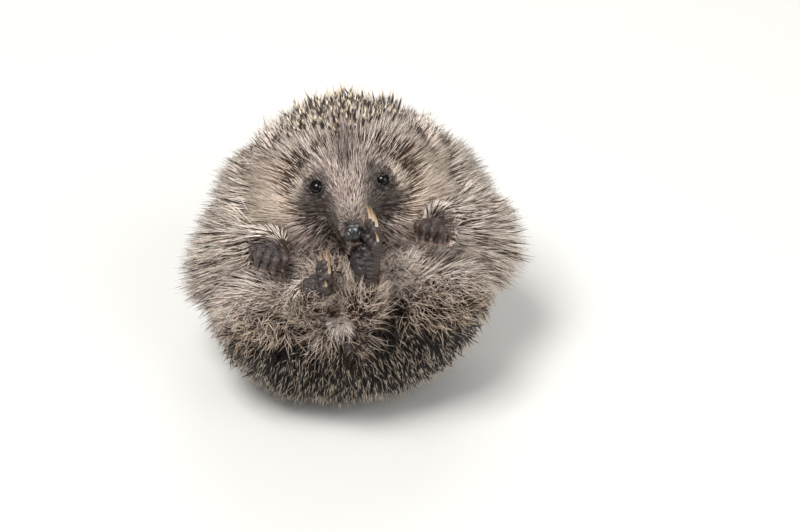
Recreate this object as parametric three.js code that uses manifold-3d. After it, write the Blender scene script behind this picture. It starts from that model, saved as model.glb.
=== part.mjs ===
// A young European hedgehog lying half rolled up on its back: face, paws and belly look up and out,
// and the spined back is underneath. Millimetres, +Z up, resting on a small flat at z = 0.
//
// The animal is first laid out in its own axes, as if it sat upright: x towards its left side,
// u towards its crown and w out of its belly. Those are turned at the end: rolled a little to one
// side, leaned back and set down on the ground. Every size includes the coat, out to its tips.
import * as THREE from "three";
import { mergeVertices } from "three/addons/utils/BufferGeometryUtils.js";
import Module from "manifold-3d";

const wasm = await Module();
wasm.setup();

// ---- driving dimensions
const gap = 0.35; // clearance between neighbouring pieces
const slack = 0.9; // extra where a small piece beds into a plainer hollow
const lean = 40; // degrees that the belly is tipped up from facing forwards
const roll = 6.5; // degrees that the right side hangs lower than the left
const restHeight = 58; // from the ground to the middle of the curled body
const centring = new THREE.Vector2(-0.7, -3); // brings the middle of the outline over the origin

const headX = 2.6; // the head lies this far to the left of the body's middle
const rumpX = -4.5; // and the rump this far to the right
const eyeSpacing = 25.4; // between the middles of the eyes
const eyeRadius = 3.1;
const bodyHalf = 60; // half the width of the curled back
const fringeHalf = 73; // half the width over the long hair of the flanks
const flankBlend = 7; // fillet where the body's masses run together

const sides = [
  [1, "left"],
  [-1, "right"],
];

// ---- places and sizes in the animal's own axes
const at = (x, u, w) => new THREE.Vector3(x, -w, u);
const size = (x, u, w) => new THREE.Vector3(x, w, u);

// ---- masses: rough signed distances, negative inside
function ovalMass(middle, half) {
  return (p) => {
    const q = p.clone().sub(middle);
    const scaled = q.clone().divide(half);
    const steep = scaled.clone().divide(half).length();
    const reach = scaled.length();
    return steep < 1e-9 ? -Math.min(half.x, half.y, half.z) : (reach * (reach - 1)) / steep;
  };
}

// A limb that tapers from one round end to another.
function limbMass(from, to, startRadius, endRadius) {
  const along = to.clone().sub(from);
  const lengthSquared = along.lengthSq();
  return (p) => {
    const q = p.clone().sub(from);
    const t = THREE.MathUtils.clamp(q.dot(along) / lengthSquared, 0, 1);
    const radius = THREE.MathUtils.lerp(startRadius, endRadius, t);
    return q.sub(along.clone().multiplyScalar(t)).length() - radius;
  };
}

// Several masses run together, with fillets about as wide as the blend.
function melt(blend, ...masses) {
  return (p) =>
    masses
      .map((mass) => mass(p))
      .reduce((a, b) => {
        const h = Math.max(blend - Math.abs(a - b), 0) / blend;
        return Math.min(a, b) - (h * h * blend) / 4;
      });
}

// ---- from masses to solids. Each maker takes how much larger than life to make its shape.
function solidOf(geometry) {
  const bare = new THREE.BufferGeometry();
  bare.setAttribute("position", geometry.getAttribute("position").clone());
  if (geometry.index) bare.setIndex(geometry.index.clone());
  const merged = mergeVertices(bare, 1e-4);
  return new wasm.Manifold(
    new wasm.Mesh({
      numProp: 3,
      vertProperties: new Float32Array(merged.attributes.position.array),
      triVerts: new Uint32Array(merged.index.array),
    })
  );
}

// A sphere whose points are moved out from the middle until they meet the mass's surface.
// The stretch spreads the points evenly over a long body.
function roundBody(mass, middle, { detail, stretch = [1, 1, 1], furthest = 95 }) {
  const spread = size(...stretch);
  return (extra = 0) => {
    const geometry = new THREE.IcosahedronGeometry(1, detail);
    const points = geometry.getAttribute("position");
    const direction = new THREE.Vector3();
    const outside = (t) => mass(middle.clone().addScaledVector(direction, t)) > extra;
    for (let i = 0; i < points.count; i++) {
      direction.fromBufferAttribute(points, i).multiply(spread).normalize();
      let high = furthest;
      while (high > 0.5 && outside(high - 0.5)) high -= 0.5;
      let low = high - 0.5;
      for (let step = 0; step < 14; step++) {
        const half = (low + high) / 2;
        if (outside(half)) high = half;
        else low = half;
      }
      points.setXYZ(i, ...middle.clone().addScaledVector(direction, low));
    }
    return solidOf(geometry);
  };
}

// A round tube along a curve, closed to a point at both ends, as a toe, a claw or a tail.
function taperedTube(path, radiusAt, around, steps) {
  const curve = new THREE.CatmullRomCurve3(path);
  const aside = new THREE.Vector3(0.31, 0.2, 0.93); // along none of the tubes
  return (extra = 0) => {
    const geometry = new THREE.SphereGeometry(1, around, steps);
    const points = geometry.getAttribute("position");
    const pole = new THREE.Vector3();
    for (let i = 0; i < points.count; i++) {
      pole.fromBufferAttribute(points, i);
      const t = Math.acos(THREE.MathUtils.clamp(pole.y, -1, 1)) / Math.PI;
      const ring = Math.hypot(pole.x, pole.z);
      const forward = curve.getTangentAt(t);
      const across = aside.clone().cross(forward).normalize();
      const over = forward.clone().cross(across);
      const reach = ring < 1e-6 ? 0 : (radiusAt(t) + extra) / ring;
      const place = curve.getPointAt(t).addScaledVector(forward, extra * (2 * t - 1));
      place.addScaledVector(across, pole.x * reach).addScaledVector(over, pole.z * reach);
      points.setXYZ(i, ...place);
    }
    return solidOf(geometry);
  };
}

const joined = (...makers) => (extra = 0) =>
  makers.map((make) => make(extra)).reduce((a, b) => a.add(b));

// ---- head
const headMass = melt(
  9,
  ovalMass(at(headX, 30, 8), size(35, 25, 25)), // braincase and forehead
  ovalMass(at(headX, 13, 12), size(38, 19, 20)), // cheeks
  limbMass(at(headX, 19, 24), at(headX, 5.2, 46), 15, 6.2) // muzzle
);
const jawMass = limbMass(at(headX, 3, 26), at(headX, -4.2, 44.5), 9, 3.8);
const jaw = roundBody(jawMass, at(headX, 0, 36), { detail: 2, stretch: [1, 1, 1.6], furthest: 40 });

const nosePlace = at(headX - 0.2, 2.8, 51.6);
const noseMass = ovalMass(nosePlace, size(3.9, 3.5, 3.4));
const noseRoom = (extra) => roundBody(noseMass, nosePlace, { detail: 1, furthest: 10 })(extra + slack / 3);

function nose() {
  let pad = roundBody(noseMass, nosePlace, { detail: 2, furthest: 10 })();
  for (const [side] of sides) {
    const nostril = at(nosePlace.x + side * 2.4, 2.2, 54.8);
    const pit = ovalMass(nostril, size(0.9, 1.8, 1.6));
    pad = pad.subtract(roundBody(pit, nostril, { detail: 0, furthest: 5 })());
  }
  return pad;
}

function eyeball(side, detail) {
  const middle = at(headX + (side * eyeSpacing) / 2, 22.2, 33);
  const ball = ovalMass(middle, size(eyeRadius, eyeRadius, eyeRadius));
  return roundBody(ball, middle, { detail, furthest: 6 });
}

// A rounded flap, hollow in front, standing at the side of the crown.
function ear(side) {
  const middle = at(headX + side * 28.5, 39.5, 16);
  const flap = ovalMass(middle, size(7.4, 9.4, 2.5));
  const outside = (detail) => roundBody(flap, middle, { detail, furthest: 20, stretch: [1, 1, 0.5] });
  const bowl = ovalMass(middle.clone().add(at(0, 0.8, 3.8)), size(5.4, 6.9, 3.3));
  const hollow = roundBody(bowl, middle.clone().add(at(0, 0.5, 4)), { detail: 1, furthest: 15 });
  return {
    shape: () => outside(2)().subtract(hollow()),
    room: (extra) => outside(1)(extra + slack),
  };
}

// ---- feet
function toe(from, to, lift, radius) {
  const middle = from.clone().add(to).multiplyScalar(0.5).add(lift);
  const fullness = (t) => Math.pow(Math.sin(Math.PI * THREE.MathUtils.lerp(0.12, 1, t)), 0.42);
  return taperedTube([from, middle, to], (t) => (t <= 0 || t >= 1 ? 0 : radius * fullness(t)), 5, 4);
}

function claw(from, to, lift, radius) {
  const middle = from.clone().add(to).multiplyScalar(0.5).add(lift);
  return taperedTube([from, middle, to], (t) => radius * Math.sqrt(1 - t) * Math.min(1, 5 * t), 4, 4);
}

// A foot laid out from its ankle towards its toes, with the sole facing one way.
function footShape({ ankle, toes, sole, ...build }) {
  const { heelRadius, ballRadius, toeRadius, spacing, splay, toeLength, dip, clawLength, tuck } = build;
  const forward = toes.clone().sub(ankle).normalize();
  const across = forward.clone().cross(sole).normalize();
  const facing = across.clone().cross(forward).normalize();
  const ball = toes.clone().addScaledVector(forward, -toeLength);
  const pads = melt(
    2.5,
    limbMass(ankle, ball, heelRadius, ballRadius * 0.86),
    ovalMass(ball.clone().addScaledVector(forward, -0.5), size(ballRadius, ballRadius, ballRadius))
  );
  const makers = [roundBody(pads, ankle.clone().lerp(ball, 0.55), { detail: 2, furthest: 40 })];
  const claws = [];
  for (let fan = -2; fan <= 2; fan++) {
    const outer = Math.abs(fan) === 2; // the first and fifth toes are shorter and set back
    const reach = toeLength * (outer ? 0.66 : 1 - 0.06 * Math.abs(fan));
    const nail = clawLength * (outer ? 0.75 : 1);
    const start = ball.clone().addScaledVector(across, fan * spacing);
    start.addScaledVector(forward, outer ? -1.6 : 0);
    const end = start.clone().addScaledVector(forward, reach);
    end.addScaledVector(across, fan * splay).addScaledVector(facing, dip);
    const heading = end.clone().sub(start).normalize();
    const lift = facing.clone().multiplyScalar(-Math.abs(dip) * 0.35 - 0.5);
    makers.push(toe(start, end, lift, toeRadius * (outer ? 0.92 : 1)));
    const root = end.clone().addScaledVector(heading, -0.3).addScaledVector(facing, -toeRadius * 0.25);
    const tip = root.clone().addScaledVector(heading, (nail + 0.6) * (1 - tuck));
    tip.addScaledVector(facing, nail * (0.3 + 0.7 * tuck)).addScaledVector(forward, -nail * tuck);
    claws.push(claw(root, tip, facing.clone().multiplyScalar(-nail * 0.1), toeRadius * 0.5));
  }
  return { shape: joined(...makers), claws };
}

const forepaw = {
  heelRadius: 4.2,
  ballRadius: 5.2,
  toeRadius: 2.2,
  spacing: 3,
  splay: 0.1,
  toeLength: 4.5, // a loose fist: the toes curl down from the knuckles
  dip: 4.5,
  clawLength: 3,
  tuck: 0.6, // how far the claws turn back under the toes
};
const hindfoot = {
  heelRadius: 5.2,
  ballRadius: 5.6,
  toeRadius: 2.2,
  spacing: 2,
  splay: 0.7,
  toeLength: 10,
  dip: 1.5,
  clawLength: 7.5,
  tuck: 0,
};

const feet = {
  hindfoot_left: footShape({
    ...hindfoot,
    ankle: at(2.6, -25, 40),
    toes: at(11.4, 5.5, 56),
    sole: at(-1, 0.1, 0.5),
  }),
  hindfoot_right: footShape({
    ...hindfoot,
    toeLength: 8,
    ankle: at(-19, -24, 33),
    toes: at(-8, -9.5, 49),
    sole: at(0.1, 0.6, 0.7),
  }),
  forepaw_left: footShape({
    ...forepaw,
    ankle: at(36, 3.8, 26),
    toes: at(32.3, -0.6, 39),
    sole: at(-0.15, -0.8, -0.6),
  }),
  forepaw_right: footShape({
    ...forepaw,
    ankle: at(-29.3, 2.7, 26.8),
    toes: at(-33.4, -4.3, 37.6),
    sole: at(-0.26, -0.75, -0.6),
  }),
};

// ---- tail: a short stub turned up against the belly
const tail = taperedTube(
  [at(rumpX - 2, -50, 24), at(rumpX - 1.5, -45, 34), at(rumpX, -36, 41)],
  (t) => 4.6 * Math.sqrt(1 - t) * Math.min(1, 4 * t),
  9,
  6
);

// ---- the furred and spined body, modelled whole
const bodyMass = melt(
  flankBlend,
  ovalMass(at(0, 3, -14), size(bodyHalf, 60, 45)), // spined dome of the back
  ovalMass(at(0, -6, -9), size(fringeHalf, 37, 33)), // fringe along the flanks
  ovalMass(at(rumpX, -30, -4), size(bodyHalf - 3, 37, 40)), // rump
  headMass,
  ovalMass(at(rumpX / 2 + 31, -26, 11), size(25, 21, 25)), // thighs, drawn up
  ovalMass(at(rumpX / 2 - 31, -26, 11), size(25, 21, 25)),
  ovalMass(at(rumpX, -26, 12), size(26, 23, 26)), // belly
  limbMass(at(48, 3, 10), at(35, 4, 27), 9, 7), // forelegs, folded in
  limbMass(at(-48, 3, 10), at(-34, 3, 27), 9, 7)
);
const wholeBody = roundBody(bodyMass, at(0, -6, -4), { detail: 7 })();
const wholeHead = roundBody(bodyMass, at(headX, 20, 14), { detail: 7 })(); // finer near the face

// ---- where it is parted: plain bodies that reach past the surface
const headRegion = roundBody(
  melt(
    8,
    ovalMass(at(headX, 27, 14), size(38, 28, 30)),
    limbMass(at(headX, 16, 30), at(headX, 1, 62), 17, 12)
  ),
  at(headX, 24, 20),
  { detail: 3 }
);
const bellyRegion = roundBody(
  ovalMass(at(rumpX, -29, 26), size(28, 25, 32)),
  at(rumpX, -29, 26),
  { detail: 2 }
);
const thighRegion = (side) =>
  roundBody(
    ovalMass(at(rumpX / 2 + side * 33, -26, 24), size(25, 20.5, 30)),
    at(side * 33, -26, 24),
    { detail: 2 }
  );
const forelegRegion = (side) =>
  roundBody(
    limbMass(at(side * 46, 4, 18), at(side * 34, 4, 32), 10.5, 9),
    at(side * 40, 4, 25),
    { detail: 2, furthest: 40 }
  );

// ---- colours
const finish = (color, roughness) => new THREE.MeshStandardMaterial({ color, roughness, metalness: 0 });
const coats = {
  spines: finish(0x6f6355, 0.75),
  face: finish(0x7d7064, 0.9),
  fur: finish(0x97897a, 0.9),
  skin: finish(0x5b4f4c, 0.6),
  nose: finish(0x1e1c1f, 0.3),
  eye: finish(0x080707, 0.05),
  claw: finish(0xb98c54, 0.4),
};

// ---- every piece, the foremost first: each is cut back from the room that the earlier ones need
const pieces = [];
const piece = (name, coat, shape, room = shape) => pieces.push({ name, coat, shape, room });

// The part of a whole that lies in a region, where its neighbours are cut by the region alone.
const within = (whole, region) => (extra = 0) => extra > 0 ? region(extra) : whole.intersect(region());

for (const [side, word] of sides) {
  piece("eye_" + word, "eye", eyeball(side, 2), (extra) => eyeball(side, 1)(extra + slack / 3));
}
piece("nose", "nose", nose, noseRoom);
for (const [name, { claws }] of Object.entries(feet)) {
  claws.forEach((shape, i) => piece(`${name}_claw_${i + 1}`, "claw", shape));
}
for (const [name, { shape }] of Object.entries(feet)) piece(name, "skin", shape);
for (const [side, word] of sides) {
  const { shape, room } = ear(side);
  piece("ear_" + word, "skin", shape, room);
}
piece("tail", "skin", tail);
piece("jaw", "face", jaw);
piece("head", "face", within(wholeHead, headRegion));
for (const [side, word] of sides) {
  piece("foreleg_" + word, "fur", within(wholeBody, forelegRegion(side)));
  piece("hindleg_" + word, "fur", within(wholeBody, thighRegion(side)));
}
piece("belly", "fur", within(wholeBody, bellyRegion));
piece("back", "spines", () => wholeBody);

// ---- turned into place, set down on the ground, cut apart and named
const placed = new THREE.Matrix4()
  .makeTranslation(centring.x, centring.y, restHeight)
  .multiply(new THREE.Matrix4().makeRotationX(THREE.MathUtils.degToRad(-lean)))
  .multiply(new THREE.Matrix4().makeRotationY(THREE.MathUtils.degToRad(-roll)));
const ground = solidOf(
  new THREE.BoxGeometry(400, 400, 100).translate(0, 0, -50).applyMatrix4(placed.clone().invert())
);

const largestOf = (solid) => solid.decompose().reduce((a, b) => (b.volume() > a.volume() ? b : a));

function farApart(one, other) {
  const a = one.boundingBox();
  const b = other.boundingBox();
  return [0, 1, 2].some((i) => a.min[i] > b.max[i] || b.min[i] > a.max[i]);
}

function geometryOf(solid) {
  const { vertProperties, triVerts } = solid.getMesh();
  const geometry = new THREE.BufferGeometry();
  geometry.setAttribute("position", new THREE.BufferAttribute(new Float32Array(vertProperties), 3));
  geometry.setIndex(new THREE.BufferAttribute(new Uint32Array(triVerts), 1));
  geometry.computeVertexNormals();
  return geometry;
}

const hedgehog = new THREE.Group();
const rooms = [];
for (const { name, coat, shape, room } of pieces) {
  let solid = shape();
  for (const taken of rooms) if (!farApart(solid, taken)) solid = solid.subtract(taken);
  rooms.push(room(gap));
  const mesh = new THREE.Mesh(geometryOf(largestOf(solid.subtract(ground))), coats[coat]);
  mesh.name = name;
  mesh.applyMatrix4(placed);
  hedgehog.add(mesh);
}

export default hedgehog;
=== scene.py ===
import math
import bmesh
import bpy
import numpy as np
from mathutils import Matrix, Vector, kdtree


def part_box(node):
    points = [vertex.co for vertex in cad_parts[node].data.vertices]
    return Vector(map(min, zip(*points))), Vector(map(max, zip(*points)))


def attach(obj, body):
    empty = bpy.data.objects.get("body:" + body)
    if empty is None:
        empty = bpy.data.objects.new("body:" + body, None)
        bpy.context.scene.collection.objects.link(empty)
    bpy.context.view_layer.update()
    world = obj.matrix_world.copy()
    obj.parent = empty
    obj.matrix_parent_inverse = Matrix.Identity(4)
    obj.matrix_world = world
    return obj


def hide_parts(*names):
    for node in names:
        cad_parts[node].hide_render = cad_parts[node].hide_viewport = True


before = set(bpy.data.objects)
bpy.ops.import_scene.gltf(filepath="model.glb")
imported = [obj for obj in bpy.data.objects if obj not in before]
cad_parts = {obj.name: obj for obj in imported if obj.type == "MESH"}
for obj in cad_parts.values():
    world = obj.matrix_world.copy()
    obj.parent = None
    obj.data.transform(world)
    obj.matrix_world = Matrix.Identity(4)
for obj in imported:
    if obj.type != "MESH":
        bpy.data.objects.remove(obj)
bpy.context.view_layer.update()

# A young hedgehog lying half rolled up on its back, on a plain pale floor.
# Shapes are worked out in the animal's own axes, in millimetres: x towards its left side,
# u towards its crown, w out of its belly. toWorld turns them into the frame's metres.

animal = {
    "lean": 40.0,        # degrees that the belly is tipped up from facing forwards
    "roll": 6.5,         # degrees that the right side hangs lower than the left
    "headX": 2.6,        # the head lies to the left of the body's middle
    "rumpX": -4.5,       # and the rump to the right
    "eye": (12.7, 22.2, 33.0),   # from the head's middle plane
    "eyeRadius": 3.1,
}
headX, rumpX = animal["headX"], animal["rumpX"]
bothSides = ((1, "left"), (-1, "right"))


def turning(lean, roll):
    a, b = math.radians(-lean), math.radians(-roll)
    tip = np.array([[1, 0, 0], [0, math.cos(a), -math.sin(a)], [0, math.sin(a), math.cos(a)]])
    turn = np.array([[math.cos(b), 0, math.sin(b)], [0, 1, 0], [-math.sin(b), 0, math.cos(b)]])
    swap = np.array([[1, 0, 0], [0, 0, -1], [0, 1, 0]])   # (x, u, w) to (x, -w, u)
    return tip @ turn @ swap


turned = turning(animal["lean"], animal["roll"])
eyeMiddles = [sum(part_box(name), Vector()) / 2 for name in ("eye_left", "eye_right")]
betweenEyes = np.array((eyeMiddles[0] + eyeMiddles[1]) / 2) * 1000
origin = betweenEyes - turned @ np.array([headX, animal["eye"][1], animal["eye"][2]])


def toWorld(points):
    return (np.asarray(points, float) @ turned.T + origin) / 1000


def say(stage):
    print("hedgehog:", stage, flush=True)


def vec(*numbers):
    return np.array(numbers, np.float32)


def unit(v):
    return v / (np.linalg.norm(v, axis=-1, keepdims=True) + 1e-9)


def laidFlat(way, normals):
    return unit(way - (way * normals).sum(1, keepdims=True) * normals)


def smooth(low, high, value):
    t = np.clip((value - low) / (high - low), 0, 1)
    return t * t * (3 - 2 * t)


def inScene(name, data):
    item = bpy.data.objects.new(name, data)
    bpy.context.scene.collection.objects.link(item)
    return item


# camera and light

view = {"distance": 0.774, "lens": 85, "right": 0.0197, "down": 0.0098, "height": 40.0}
aim = Vector(origin / 1000)


def makeCamera():
    a = math.radians(view["height"])
    back = Vector((0, -math.cos(a), math.sin(a)))
    up = Vector((0, math.sin(a), math.cos(a)))
    data = bpy.data.cameras.new("camera")
    data.lens = view["lens"]
    data.sensor_width = 36
    data.clip_start = 0.01
    camera = inScene("camera", data)
    camera.location = aim + back * view["distance"] + Vector((view["right"], 0, 0)) - up * view["down"]
    camera.rotation_euler = back.to_track_quat("Z", "Y").to_euler()
    bpy.context.scene.camera = camera


lamps = {
    "key": {"place": (-0.4, -0.3, 1.25), "size": 0.6, "watts": 17.5},   # also the spark in the eyes
    "fill": {"place": (0.95, -0.6, 0.85), "size": 1.0, "watts": 7.5},
    "back": {"place": (0.2, 1.1, 0.9), "size": 0.9, "watts": 7.0},
}
skyStrength = 0.3


def makeLights():
    for name, lamp in lamps.items():
        data = bpy.data.lights.new(name, "AREA")
        data.size = lamp["size"]
        data.energy = lamp["watts"]
        item = inScene(name, data)
        item.location = lamp["place"]
        item.rotation_euler = (Vector(lamp["place"]) - aim).to_track_quat("Z", "Y").to_euler()
    world = bpy.data.worlds.new("sky")
    world.use_nodes = True
    sky = world.node_tree.nodes["Background"]
    sky.inputs["Color"].default_value = (1, 1, 1, 1)
    sky.inputs["Strength"].default_value = skyStrength
    bpy.context.scene.world = world


# materials

def linear(code):
    values = [int(code[i:i + 2], 16) / 255 for i in (1, 3, 5)]
    return tuple(v / 12.92 if v <= 0.04045 else ((v + 0.055) / 1.055) ** 2.4 for v in values) + (1.0,)


def newMaterial(name, finish):
    material = bpy.data.materials.new(name)
    material.use_nodes = True
    surface = material.node_tree.nodes["Principled BSDF"]
    for key, value in finish.items():
        surface.inputs[key].default_value = value
    return material, material.node_tree, surface


def add(tree, kind, settings=None, inputs=None, links=None, stops=()):
    node = tree.nodes.new(kind)
    for key, value in (settings or {}).items():
        setattr(node, key, value)
    for key, value in (inputs or {}).items():
        node.inputs[key].default_value = value
    for key, source in (links or {}).items():
        tree.links.new(source, node.inputs[key])
    elements = node.color_ramp.elements if stops else ()
    while len(elements) < len(stops):
        elements.new(0.5)
    for element, (place, code) in zip(elements, stops):
        element.position = place
        element.color = linear(code) if isinstance(code, str) else (code, code, code, 1)
    return node


def paintOver(tree, shade, stops, layers):
    # colours laid over one another, each by its own amount, and each going from dark to pale by the shade
    colour = add(tree, "ShaderNodeValToRGB", links={"Fac": shade}, stops=stops).outputs["Color"]
    for amount, stops in layers:
        other = add(tree, "ShaderNodeValToRGB", links={"Fac": shade}, stops=stops)
        mix = add(tree, "ShaderNodeMix", {"data_type": "RGBA"},
                  links={0: amount, 6: colour, 7: other.outputs["Color"]})
        colour = mix.outputs[2]
    return colour


# masses of the flesh, as rough signed distances in millimetres, negative inside

def oval(middle, half):
    middle, half = np.array(middle, np.float32), np.array(half, np.float32)

    def mass(p):
        q = (p - middle) / half
        reach = np.sqrt((q * q).sum(1))
        q /= half
        steep = np.sqrt((q * q).sum(1)) + 1e-6
        return reach * (reach - 1) / steep
    return mass


def limb(start, end, startRadius, endRadius):
    start, end = np.array(start, np.float32), np.array(end, np.float32)
    along = end - start
    lengthSquared = float(along @ along)

    def mass(p):
        q = p - start
        t = np.clip(q @ along / lengthSquared, 0, 1)
        return np.sqrt(((q - t[:, None] * along) ** 2).sum(1)) - (startRadius + t * (endRadius - startRadius))
    return mass


def meltValues(a, b, blend):
    h = np.maximum(blend - np.abs(a - b), 0) / blend
    return np.minimum(a, b) - h * h * blend / 4


def melt(blend, *masses):
    def mass(p):
        value = masses[0](p)
        for other in masses[1:]:
            value = meltValues(value, other(p), blend)
        return value
    return mass


coatHead = melt(
    9,
    oval((headX, 30, 8), (35, 25, 25)),
    oval((headX, 13, 12), (38, 19, 20)),
    limb((headX, 19, 24), (headX, 5.2, 46), 15, 6.2),
)
coatOutline = melt(   # the tips of the coat, as in the solids
    7,
    oval((0, 3, -14), (60, 60, 45)),
    oval((0, -6, -9), (73, 37, 33)),
    oval((rumpX, -30, -4), (57, 37, 40)),
    coatHead,
    oval((rumpX / 2 + 31, -26, 11), (25, 21, 25)),
    oval((rumpX / 2 - 31, -26, 11), (25, 21, 25)),
    oval((rumpX, -26, 12), (26, 23, 26)),
    limb((48, 3, 10), (35, 4, 27), 9, 7),
    limb((-48, 3, 10), (-34, 3, 27), 9, 7),
)
fleshHead = melt(
    7,
    oval((headX, 29.5, 7), (30.5, 21, 21.5)),
    oval((headX, 13.5, 12), (32, 15.5, 16.5)),
    limb((headX, 19, 24), (headX, 5.2, 45.8), 13.2, 5.6),
    oval((headX + 10.5, 21.5, 27), (8.0, 7.5, 7.5)),
    oval((headX - 10.5, 21.5, 27), (8.0, 7.5, 7.5)),
)
fleshBody = melt(
    7,
    oval((0, 2, -13), (47, 46, 32)),
    oval((0, -7, -8), (55, 29, 25)),
    oval((rumpX, -28, -3), (45, 26, 29)),
    fleshHead,
    oval((rumpX / 2 + 30, -26, 10), (20, 15.5, 20)),
    oval((rumpX / 2 - 30, -26, 10), (20, 15.5, 20)),
    oval((rumpX, -26, 11), (22, 18.5, 21.5)),
    limb((48, 3, 8), (35.5, 4.5, 27), 6.5, 4.6),
    limb((-48, 3, 8), (-31.5, 3.5, 28), 6.5, 4.6),
)

# feet: where each starts and ends, the way its sole faces, and its build

# hidden: how much of the wrist or heel the fur covers; covered: where it starts to cover the outer toes
# pads: how far forward of the ball each lies, how far across, and its radius

forepaw = {"heel": 3.9, "ball": 4.3, "toe": 1.45, "spacing": 3.4, "splay": 0.1, "toeLength": 4.5,
           "dip": 4.5, "claw": 3.0, "tuck": 0.6, "hidden": 8.5, "palm": 3.9, "back": 2.5, "full": 0,
           "knuckle": 1.6, "pads": ()}
hindfoot = {"heel": 5.3, "ball": 4.9, "toe": 1.95, "spacing": 2.3, "splay": 0.8, "toeLength": 10.0,
            "dip": 1.5, "claw": 7.5, "tuck": 0, "hidden": 11.0, "palm": 5.4, "back": 7.0, "full": 2.6,
            "knuckle": 1.2,
            "pads": ((1.6, -4.2, 1.9), (3.0, -1.2, 2.1), (2.6, 2.2, 2.1), (0.6, 4.6, 1.8), (-2.6, -2.4, 2.2),
                     (-3.6, 2.0, 2.2), (-8.0, 0.2, 2.8), (-12.0, 0.4, 3.0))}
feet = {
    "hindfoot_left": {**hindfoot, "ankle": (2.6, -25, 40), "toes": (11.4, 5.5, 56), "sole": (-1, 0.1, 0.5),
                      "shank": (1, -27, 24)},
    "hindfoot_right": {**hindfoot, "toeLength": 8.0, "ankle": (-19, -24, 33), "toes": (-8, -9.5, 49),
                       "sole": (0.1, 0.6, 0.7), "shank": (-21, -26, 18), "hidden": 14.0},
    "forepaw_left": {**forepaw, "ankle": (36, 3.8, 26), "toes": (32.3, -0.6, 39), "sole": (-0.15, -0.8, -0.6),
                     "shank": (39, 4, 18), "covered": 2.5},
    "forepaw_right": {**forepaw, "ankle": (-29.3, 2.7, 26.8), "toes": (-33.4, -4.3, 37.6),
                      "sole": (-0.26, -0.75, -0.6), "shank": (-33, 3, 19)},
}


def layOutFoot(foot):
    # in the solids' axes (x, -w, u), as cross products turn with the axes
    ankle, toes, sole = (np.array([foot[key][0], -foot[key][2], foot[key][1]], float)
                         for key in ("ankle", "toes", "sole"))
    forward = unit(toes - ankle)
    across = unit(np.cross(forward, sole))
    facing = unit(np.cross(across, forward))
    ball = toes - forward * foot["toeLength"]
    parts = []
    for fan in range(-2, 3):
        outer = abs(fan) == 2
        reach = foot["toeLength"] * (0.66 if outer else 1 - 0.06 * abs(fan))
        nail = foot["claw"] * (0.75 if outer else 1)
        start = ball + across * fan * foot["spacing"] * (0.94 if outer else 1)
        start = start - forward * (1.9 if outer else 0)
        end = start + forward * reach + across * fan * foot["splay"] + facing * foot["dip"]
        heading = unit(end - start)
        knuckle = (start + end) / 2 - facing * (abs(foot["dip"]) * 0.35 + 0.5)
        root = end - heading * 0.3 - facing * foot["toe"] * 0.25
        tip = root + heading * (nail + 0.6) * (1 - foot["tuck"]) + facing * nail * (0.3 + 0.7 * foot["tuck"])
        tip = tip - forward * nail * foot["tuck"]
        bow = (root + tip) / 2 - facing * nail * 0.1
        radius = foot["toe"] * (0.85 if outer else 1)
        parts.append({"start": start, "knuckle": knuckle, "end": end, "radius": radius,
                      "root": root, "bow": bow, "tip": tip})
    back = lambda v: np.array([v[0], v[2], -v[1]])
    for part in parts:
        for key in ("start", "knuckle", "end", "root", "bow", "tip"):
            part[key] = back(part[key])
    return {"ankle": back(ankle), "ball": back(ball), "forward": back(forward),
            "facing": back(facing), "across": back(across), "toes": parts}


laidOut = {name: layOutFoot(foot) for name, foot in feet.items()}


def footMass(name):
    foot, plan = feet[name], laidOut[name]
    bones = [limb(plan["ankle"], toe["start"], foot["heel"] * 0.85, toe["radius"] * 1.1)
             for toe in plan["toes"]]
    palm = melt(1.3, limb(foot["shank"], plan["ankle"], foot["heel"] * 1.2, foot["heel"]),
                oval(plan["ball"] - plan["forward"] * foot["back"] + plan["facing"] * foot["full"],
                     [foot["palm"]] * 3), *bones)
    toes = []
    for toe in plan["toes"]:
        tip = toe["end"] - unit(toe["end"] - toe["knuckle"]) * 1.2
        toes.append(melt(0.5, limb(toe["start"], toe["knuckle"], toe["radius"], toe["radius"]),
                         oval(toe["knuckle"], [toe["radius"] * foot["knuckle"]] * 3),
                         limb(toe["knuckle"], tip, toe["radius"] * 0.95, toe["radius"] * 0.8),
                         oval(tip + plan["facing"] * 0.4, [toe["radius"]] * 3)))
    pads = []
    for ahead, aside, radius in foot["pads"]:
        place = plan["ball"] + plan["forward"] * ahead + plan["across"] * aside
        out = 2.1 - abs(aside) * 0.2 + (foot["full"] - 1) * smooth(0, -5, ahead)
        pads.append(oval(place + plan["facing"] * out, [radius] * 3))

    def mass(p):
        value = toes[0](p)
        for toe in toes[1:]:
            value = meltValues(value, toe(p), 0.15)
        value = meltValues(value, palm(p), 0.9)
        for pad in pads:
            value = meltValues(value, pad(p), 0.3)
        return value
    return mass


def sleeve(name, depth):
    # round the furred stretch of a hind leg, a little way out from it
    foot, plan = feet[name], laidOut[name]
    end = plan["ankle"] + plan["forward"] * foot["hidden"]
    return melt(3, limb(foot["shank"], plan["ankle"], foot["heel"] * 1.2 + depth, foot["heel"] + depth),
                limb(plan["ankle"], end, foot["heel"] + depth, foot["heel"] + depth * 0.8))


hindFeet = ("hindfoot_left", "hindfoot_right")
sleeves = [sleeve(name, 4.0) for name in hindFeet]
tailPath = [(rumpX - 2, -46, 14), (rumpX - 1.5, -45, 28), (rumpX - 0.8, -41.5, 33.5)]
nose = (headX - 0.2, 2.8, 51.6)
eyes = {side: (headX + side * animal["eye"][0], animal["eye"][1], animal["eye"][2]) for side in (1, -1)}


def gaze(side):
    return unit(vec(side * 0.2, 0.12, 0.95))


def earAt(side):
    return vec(headX + side * 27.5 + 0.8, 38.8 - side * 1.8, 15.2)


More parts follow.
